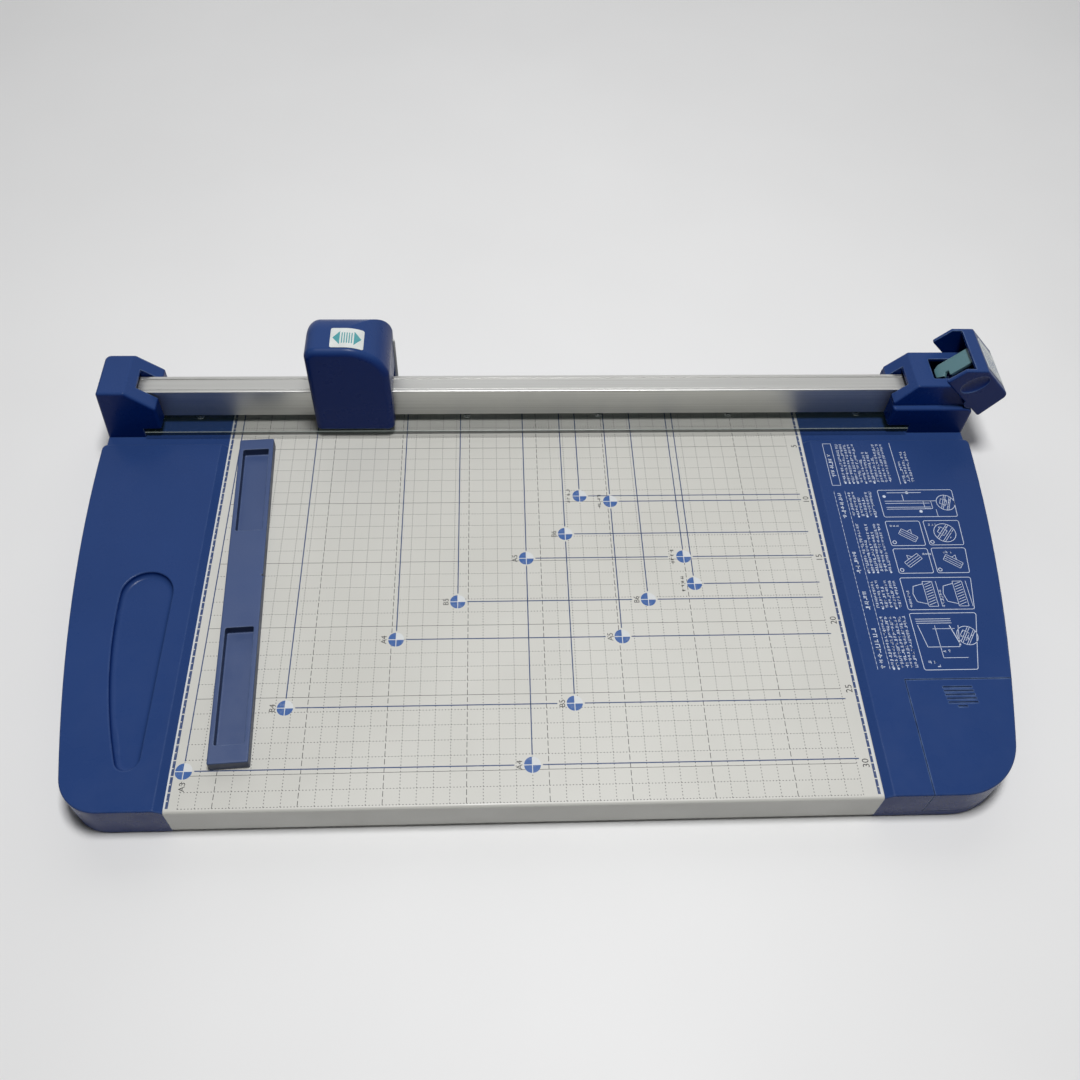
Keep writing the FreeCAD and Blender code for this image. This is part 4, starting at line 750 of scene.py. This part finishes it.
def text_block(ink_mesh, u0, u1, v0, v1):
    """Columns of meaningless signs; some columns end early, and a dot opens a few of them."""
    u = u0 + LETTER / 2
    while u + LETTER / 2 <= u1:
        opens = random.random() < 0.4
        last = v1 if random.random() < 0.7 else v1 - (v1 - v0) * random.uniform(0.1, 0.4)
        if opens:
            ink_mesh.disc((u, v0 + 0.7), 0.75, 10)
        v = v0 + LETTER_PITCH
        while v + LETTER / 2 <= last:
            greek_letter(ink_mesh, u, v, LETTER)
            v += LETTER_PITCH
        u += TEXT_PITCH


def heading(ink_mesh, u, v0, v1):
    v = v0 + HEADING_LETTER / 2
    while v + HEADING_LETTER / 2 <= v1:
        greek_letter(ink_mesh, u, v, HEADING_LETTER)
        v += HEADING_PITCH


CHAIN_WIDTH = 0.3
CHAIN_DASH = 2.2
CHAIN_DOT = 0.4
CHAIN_GAP = 0.5
CHAIN_PITCH = CHAIN_DASH + CHAIN_DOT + 2 * CHAIN_GAP


def dash_dot(ink_mesh, u, v0, v1):
    """An upright chain line."""
    left = u - CHAIN_WIDTH / 2
    right = u + CHAIN_WIDTH / 2
    v = v0
    while v + CHAIN_DASH + CHAIN_GAP + CHAIN_DOT < v1:
        dot = v + CHAIN_DASH + CHAIN_GAP
        ink_mesh.bar(left, right, v, v + CHAIN_DASH)
        ink_mesh.bar(left, right, dot, dot + CHAIN_DOT)
        v += CHAIN_PITCH


def bubble(ink_mesh, centre, radius):
    """A round enlarged detail: a drawn part on slanting lines, with a few short strokes round it."""
    ink_mesh.circle(centre, radius, PRINT_LINE)
    lean = math.radians(random.uniform(50, 70))
    along = (math.cos(lean), math.sin(lean))

    def at(a, b):
        return (
            centre[0] + radius * (a * along[0] - b * along[1]),
            centre[1] + radius * (a * along[1] + b * along[0]),
        )

    for b in (-0.45, -0.28, 0.12, 0.3):
        reach = math.sqrt(1 - b * b) - 0.08
        ink_mesh.line(at(-reach, b), at(reach, b), FINE_LINE)
    ink_mesh.frame([at(-0.35, -0.1), at(0.35, -0.1), at(0.35, 0.6), at(-0.35, 0.6)], 0.5, FINE_LINE)
    for i in range(6):
        a = random.uniform(-0.6, 0.6)
        b = random.uniform(-0.75, 0.75)
        ink_mesh.line(at(a, b), at(a + 0.18, b + random.uniform(-0.1, 0.1)), 0.4)


def slanted_box(ink_mesh, centre, size, turn):
    """A small box in outline, drawn turned, with two lines across it."""
    c = math.cos(math.radians(turn))
    s = math.sin(math.radians(turn))

    def at(a, b):
        return (centre[0] + a * c - b * s, centre[1] + a * s + b * c)

    length = size
    width = size * 0.42
    corners = [at(-length, -width), at(length, -width), at(length, width), at(-length, width)]
    ink_mesh.frame(corners, 0.8, FINE_LINE)
    for b in (-0.35, 0.3):
        ink_mesh.line(at(-length, b * width), at(length, b * width), 0.3)
    ink_mesh.line(at(-length * 0.3, width), at(-length * 0.1, width * 2.1), FINE_LINE)
    ink_mesh.line(at(length * 0.2, width), at(-length * 0.1, width * 2.1), FINE_LINE)


def section_drawing(ink_mesh, u, v):
    """A round-backed shape over a hatched strip."""
    ink_mesh.path([(u, v + 8), (u - 7, v + 6), (u - 8.5, v), (u - 7, v - 6), (u, v - 8)], PRINT_LINE)
    ink_mesh.frame([(u, v - 10), (u + 7, v - 10), (u + 7, v + 10), (u, v + 10)], 0.6, FINE_LINE)
    for i in range(9):
        back = v + 8.5 - 2 * i
        ink_mesh.line((u + 1, back - 1.2), (u + 6, back + 0.8), FINE_LINE)
    ink_mesh.line((u + 9.5, v - 10), (u + 9.5, v + 10), FINE_LINE)


def print_panel():
    """White printing on the right panel: meaningless signs, frames and plain line drawings."""
    white = Ink(on_panel)
    white.frame([(16.2, -90), (22.8, -90), (22.8, -50.6), (16.2, -50.6)], 0.4, FINE_LINE)
    heading(white, 19.5, -82, -58)
    text_block(white, 25.6, 63, -88.5, -51)
    white.bar(67.4, 67.8, -89.2, -50.3)
    text_block(white, 70.2, 79.5, -88.5, -58)
    for u in (16.3, 24.4):
        dash_dot(white, u, -238.6, -95)
    for v0, v1 in ((-119, -95), (-165.5, -145), (-194.3, -177), (-238, -206)):
        heading(white, 20.2, v0, v1)
    for v0, v1 in ((-118.6, -95.2), (-165.6, -122.3), (-194.2, -169.7), (-239, -198)):
        text_block(white, 26.0, 46.0, v0, v1)
    print_drawings(white)
    white.finish("panel_print", PANEL_INK, "base")


def print_drawings(white):
    """The framed drawings in the middle of the panel."""
    frames = [
        [(48.3, -118.7), (102.3, -118.7), (104.2, -94.4), (48.3, -94.4)],
        [(47.8, -143.3), (72.7, -143.3), (73.1, -122.0), (47.8, -122.0)],
        [(75.4, -143.0), (100.3, -143.0), (101.8, -121.8), (75.4, -121.8)],
        [(47.8, -166.1), (72.5, -166.1), (72.8, -145.5), (47.8, -145.5)],
        [(75.0, -166.1), (97.8, -166.1), (100.2, -145.2), (75.2, -145.2)],
        [(47.0, -195.0), (93.0, -195.0), (97.3, -169.4), (47.0, -169.4)],
        [(46.8, -239.8), (82.6, -239.8), (93.2, -197.4), (46.8, -197.4)],
    ]
    for corners in frames:
        white.frame(corners, 1.6, PRINT_LINE)
    for v in (-104.5, -106.5, -110.0, -111.6):
        white.bar(52.0, 84.5 if v < -105 else 90.0, v - 0.2, v + 0.2)
    white.frame([(80.0, -111.5), (86.0, -111.5), (86.0, -104.5), (80.0, -104.5)], 0.5, FINE_LINE)
    white.path([(55.0, -97.0), (80.5, -97.0)], PRINT_LINE)
    white.path([(66.0, -104.5), (66.0, -98.6)], PRINT_LINE)
    for centre in ((52.5, -100.3), (70.0, -97.0), (76.5, -113.8)):
        white.disc(centre, SPOT_RADIUS, SPOT_STEPS)
    white.path([(88.0, -112.0), (88.0, -118.2)], FINE_LINE)
    bubble(white, (96.5, -106.2), 6.9)
    for centre, turn in (((62.0, -134.5), -35), ((60.5, -155.5), 35), ((88.5, -156.5), -35)):
        slanted_box(white, centre, 6.6, turn)
    bubble(white, (89.0, -132.5), 8.0)
    for u, v in ((50.8, -140.2), (78.0, -140.2), (50.6, -163.2), (77.6, -163.2)):
        white.circle((u, v), 1.5, 0.5, 14)
    for u, v in ((51.5, -126.0), (79.5, -125.5), (69.0, -150.0), (83.5, -149.0)):
        for i in range(3):
            greek_letter(white, u + CAPTION_PITCH * i, v, CAPTION_LETTER)
    section_drawing(white, 62.0, -182.5)
    section_drawing(white, 83.0, -182.5)
    for i in range(6):
        greek_letter(white, 50.3, -192.0 + CAPTION_PITCH * i, CAPTION_LETTER)
        greek_letter(white, 72.8, -192.0 + CAPTION_PITCH * i, CAPTION_LETTER)
    for v in (-202.0, -203.6, -205.2):
        white.bar(50.0, 74.0, v - 0.2, v + 0.2)
    white.path([(50.5, -206.5), (53.5, -223.0), (75.0, -223.0), (78.0, -207.0)], PRINT_LINE)
    white.path([(60.0, -209.5), (75.0, -209.5)], FINE_LINE)
    white.path([(62.0, -207.0), (62.0, -231.0), (78.5, -231.0)], FINE_LINE)
    white.path([(72.0, -207.0), (76.0, -222.0)], 0.6)
    bubble(white, (82.3, -214.8), 7.2)
    for u, v in ((64.0, -226.0), (67.5, -226.0), (52.0, -234.0), (55.5, -234.0), (57.5, -236.5)):
        greek_letter(white, u, v, LETTER)


# ---- labels --------------------------------------------------------------------------------------
def surface_under(node):
    """A function that gives the height of a CAD node's top under a point, in metres."""
    mesh = frame["nodes"][node].data
    tree = BVHTree.FromPolygons([v.co for v in mesh.vertices], [p.vertices for p in mesh.polygons])

    def height(x, y):
        return tree.ray_cast(Vector((x, y, 1.0)), Vector((0, 0, -1)))[0].z

    return height


ARROW_START = 4.9
ARROW_LENGTH = 5.0
ARROW_HALF_HEIGHT = 6.4
ARROW_TIP = 0.05
ARROW_SLICES = 6  # each arrowhead is cut up so that it can follow the curved label
ARROW_BARS = 5
ARROW_BAR_PITCH = 1.7
ARROW_BAR_WIDTH = 0.76
ARROW_BAR_REACH = 5.0


def print_arrow_label():
    """Two arrowheads and five bars across the carriage's label, which curves with the cover."""
    low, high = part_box("arrow_label")
    centre = (low + high) / 2
    surface = surface_under("arrow_label")

    def place(u, v, height):
        x = centre.x + u * MM
        y = centre.y + v * MM
        return Vector((x, y, surface(x, y) + height * MM))

    teal = Ink(place)
    for way in (-1, 1):
        for i in range(ARROW_SLICES):
            near = ARROW_START + ARROW_LENGTH * i / ARROW_SLICES
            far = ARROW_START + ARROW_LENGTH * (i + 1) / ARROW_SLICES
            tall_near = ARROW_HALF_HEIGHT * (1 - i / ARROW_SLICES)
            tall_far = ARROW_HALF_HEIGHT * (1 - (i + 1) / ARROW_SLICES) + ARROW_TIP
            points = [
                (way * near, -tall_near),
                (way * far, -tall_far),
                (way * far, tall_far),
                (way * near, tall_near),
            ]
            teal.polygon(points if way > 0 else list(reversed(points)))
    for i in range(ARROW_BARS):
        u = ARROW_BAR_PITCH * (i - (ARROW_BARS - 1) / 2)
        teal.bar(u - ARROW_BAR_WIDTH / 2, u + ARROW_BAR_WIDTH / 2, -ARROW_BAR_REACH, ARROW_BAR_REACH)
    teal.finish("arrow_label_print", TEAL_INK, "carriage")


def print_hood_label():
    """Meaningless signs and one small drawing on the plate in the hood's top."""
    mesh = frame["nodes"]["lever_label"].data
    upward = [polygon for polygon in mesh.polygons if polygon.normal.z > 0.3]
    normal = max(upward, key=lambda polygon: polygon.area).normal.copy()
    across = Vector((0, 1, 0)).cross(normal).normalized()
    low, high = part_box("lever_label")
    top = max(mesh.vertices, key=lambda v: v.co.dot(normal)).co
    centre = (low + high) / 2
    centre += normal * (top - centre).dot(normal)

    def place(u, v, height):
        return centre + across * (u * MM) + Vector((0, v * MM, 0)) + normal * (height * MM)

    dark = Ink(place)
    dark.frame([(-11.6, -14.2), (11.6, -14.2), (11.6, 14.2), (-11.6, 14.2)], 1.2, 0.4)
    for i in range(5):
        for j in range(9):
            greek_letter(dark, -8.8 + 2.9 * i, -11.4 + 2.4 * j, 2.0)
    slanted_box(dark, (7.4, 0.0), 5.4, 90)
    dark.finish("hood_label_print", BLUE_INK, "lever")


# ---- stage ---------------------------------------------------------------------------------------
FLOOR_HALF = 6.0


def floor():
    """Plain pale floor."""
    s = Shader("floor_paint")
    cloudy = s.ramp(s.noise(3.0, 3.0), 0.35, 0.65)
    s.link(s.mix(cloudy, (0.80, 0.80, 0.80), (0.83, 0.83, 0.83)), "Base Color")
    s.set(Roughness=0.55)
    bm = bmesh.new()
    bmesh.ops.create_grid(bm, x_segments=8, y_segments=8, size=FLOOR_HALF)
    mesh = bpy.data.meshes.new("floor")
    bm.to_mesh(mesh)
    bm.free()
    mesh.materials.append(s.material)
    plane = bpy.data.objects.new("floor", mesh)
    bpy.context.scene.collection.objects.link(plane)


def lamp(name, place, aim, size, watts):
    """A rectangular soft box that points at aim."""
    data = bpy.data.lights.new(name, "AREA")
    data.shape = "RECTANGLE"
    data.size, data.size_y = size
    data.energy = watts
    holder = bpy.data.objects.new(name, data)
    holder.location = place
    holder.rotation_euler = (Vector(aim) - Vector(place)).to_track_quat("-Z", "Y").to_euler()
    holder.visible_camera = False
    bpy.context.scene.collection.objects.link(holder)


SKY_STRENGTH = 0.05
OVERHEAD_WATTS = 25.2
BEHIND_WATTS = 17.0


def lights():
    """A faint even sky, a small bright light nearly overhead, and a big soft one far behind."""
    world = bpy.data.worlds.new("studio")
    world.use_nodes = True
    sky = world.node_tree.nodes["Background"]
    sky.inputs["Color"].default_value = (0.95, 0.97, 1.0, 1.0)
    sky.inputs["Strength"].default_value = SKY_STRENGTH
    bpy.context.scene.world = world
    lamp("overhead", (0.05, -0.10, 1.75), (0.02, 0.0, 0.0), (0.35, 0.35), OVERHEAD_WATTS)
    lamp("behind", (0.0, 1.5, 1.4), (0.0, 0.0, 1.4), (3.2, 2.6), BEHIND_WATTS)


CAMERA_PLACE = (-0.0492, -0.4090, 0.6758)
CAMERA_TILT = 38.74  # degrees up from straight down
CAMERA_TURN = -4.17
CAMERA_ROLL = 2.90
SENSOR = 36.0
FOCAL_LENGTH = SENSOR * 1100 / 1080
SHIFT_UP = -0.0888


def camera():
    data = bpy.data.cameras.new("camera")
    data.sensor_width = SENSOR
    data.lens = FOCAL_LENGTH
    data.shift_y = SHIFT_UP
    data.clip_start = 0.02
    holder = bpy.data.objects.new("camera", data)
    aim = Euler((math.radians(CAMERA_TILT), 0, math.radians(CAMERA_TURN))).to_matrix()
    turned = aim @ Matrix.Rotation(math.radians(CAMERA_ROLL), 3, "Z")
    holder.matrix_world = Matrix.Translation(CAMERA_PLACE) @ turned.to_4x4()
    bpy.context.scene.collection.objects.link(holder)
    bpy.context.scene.camera = holder


# ---- build ---------------------------------------------------------------------------------------
paint_cad_nodes()
print_grid()
print_size_lines()
print_marks()
print_bed_words()
print_tick_bands()
print_panel()
print_arrow_label()
print_hood_label()
floor()
lights()
camera()
bpy.context.scene.view_settings.view_transform = "Standard"
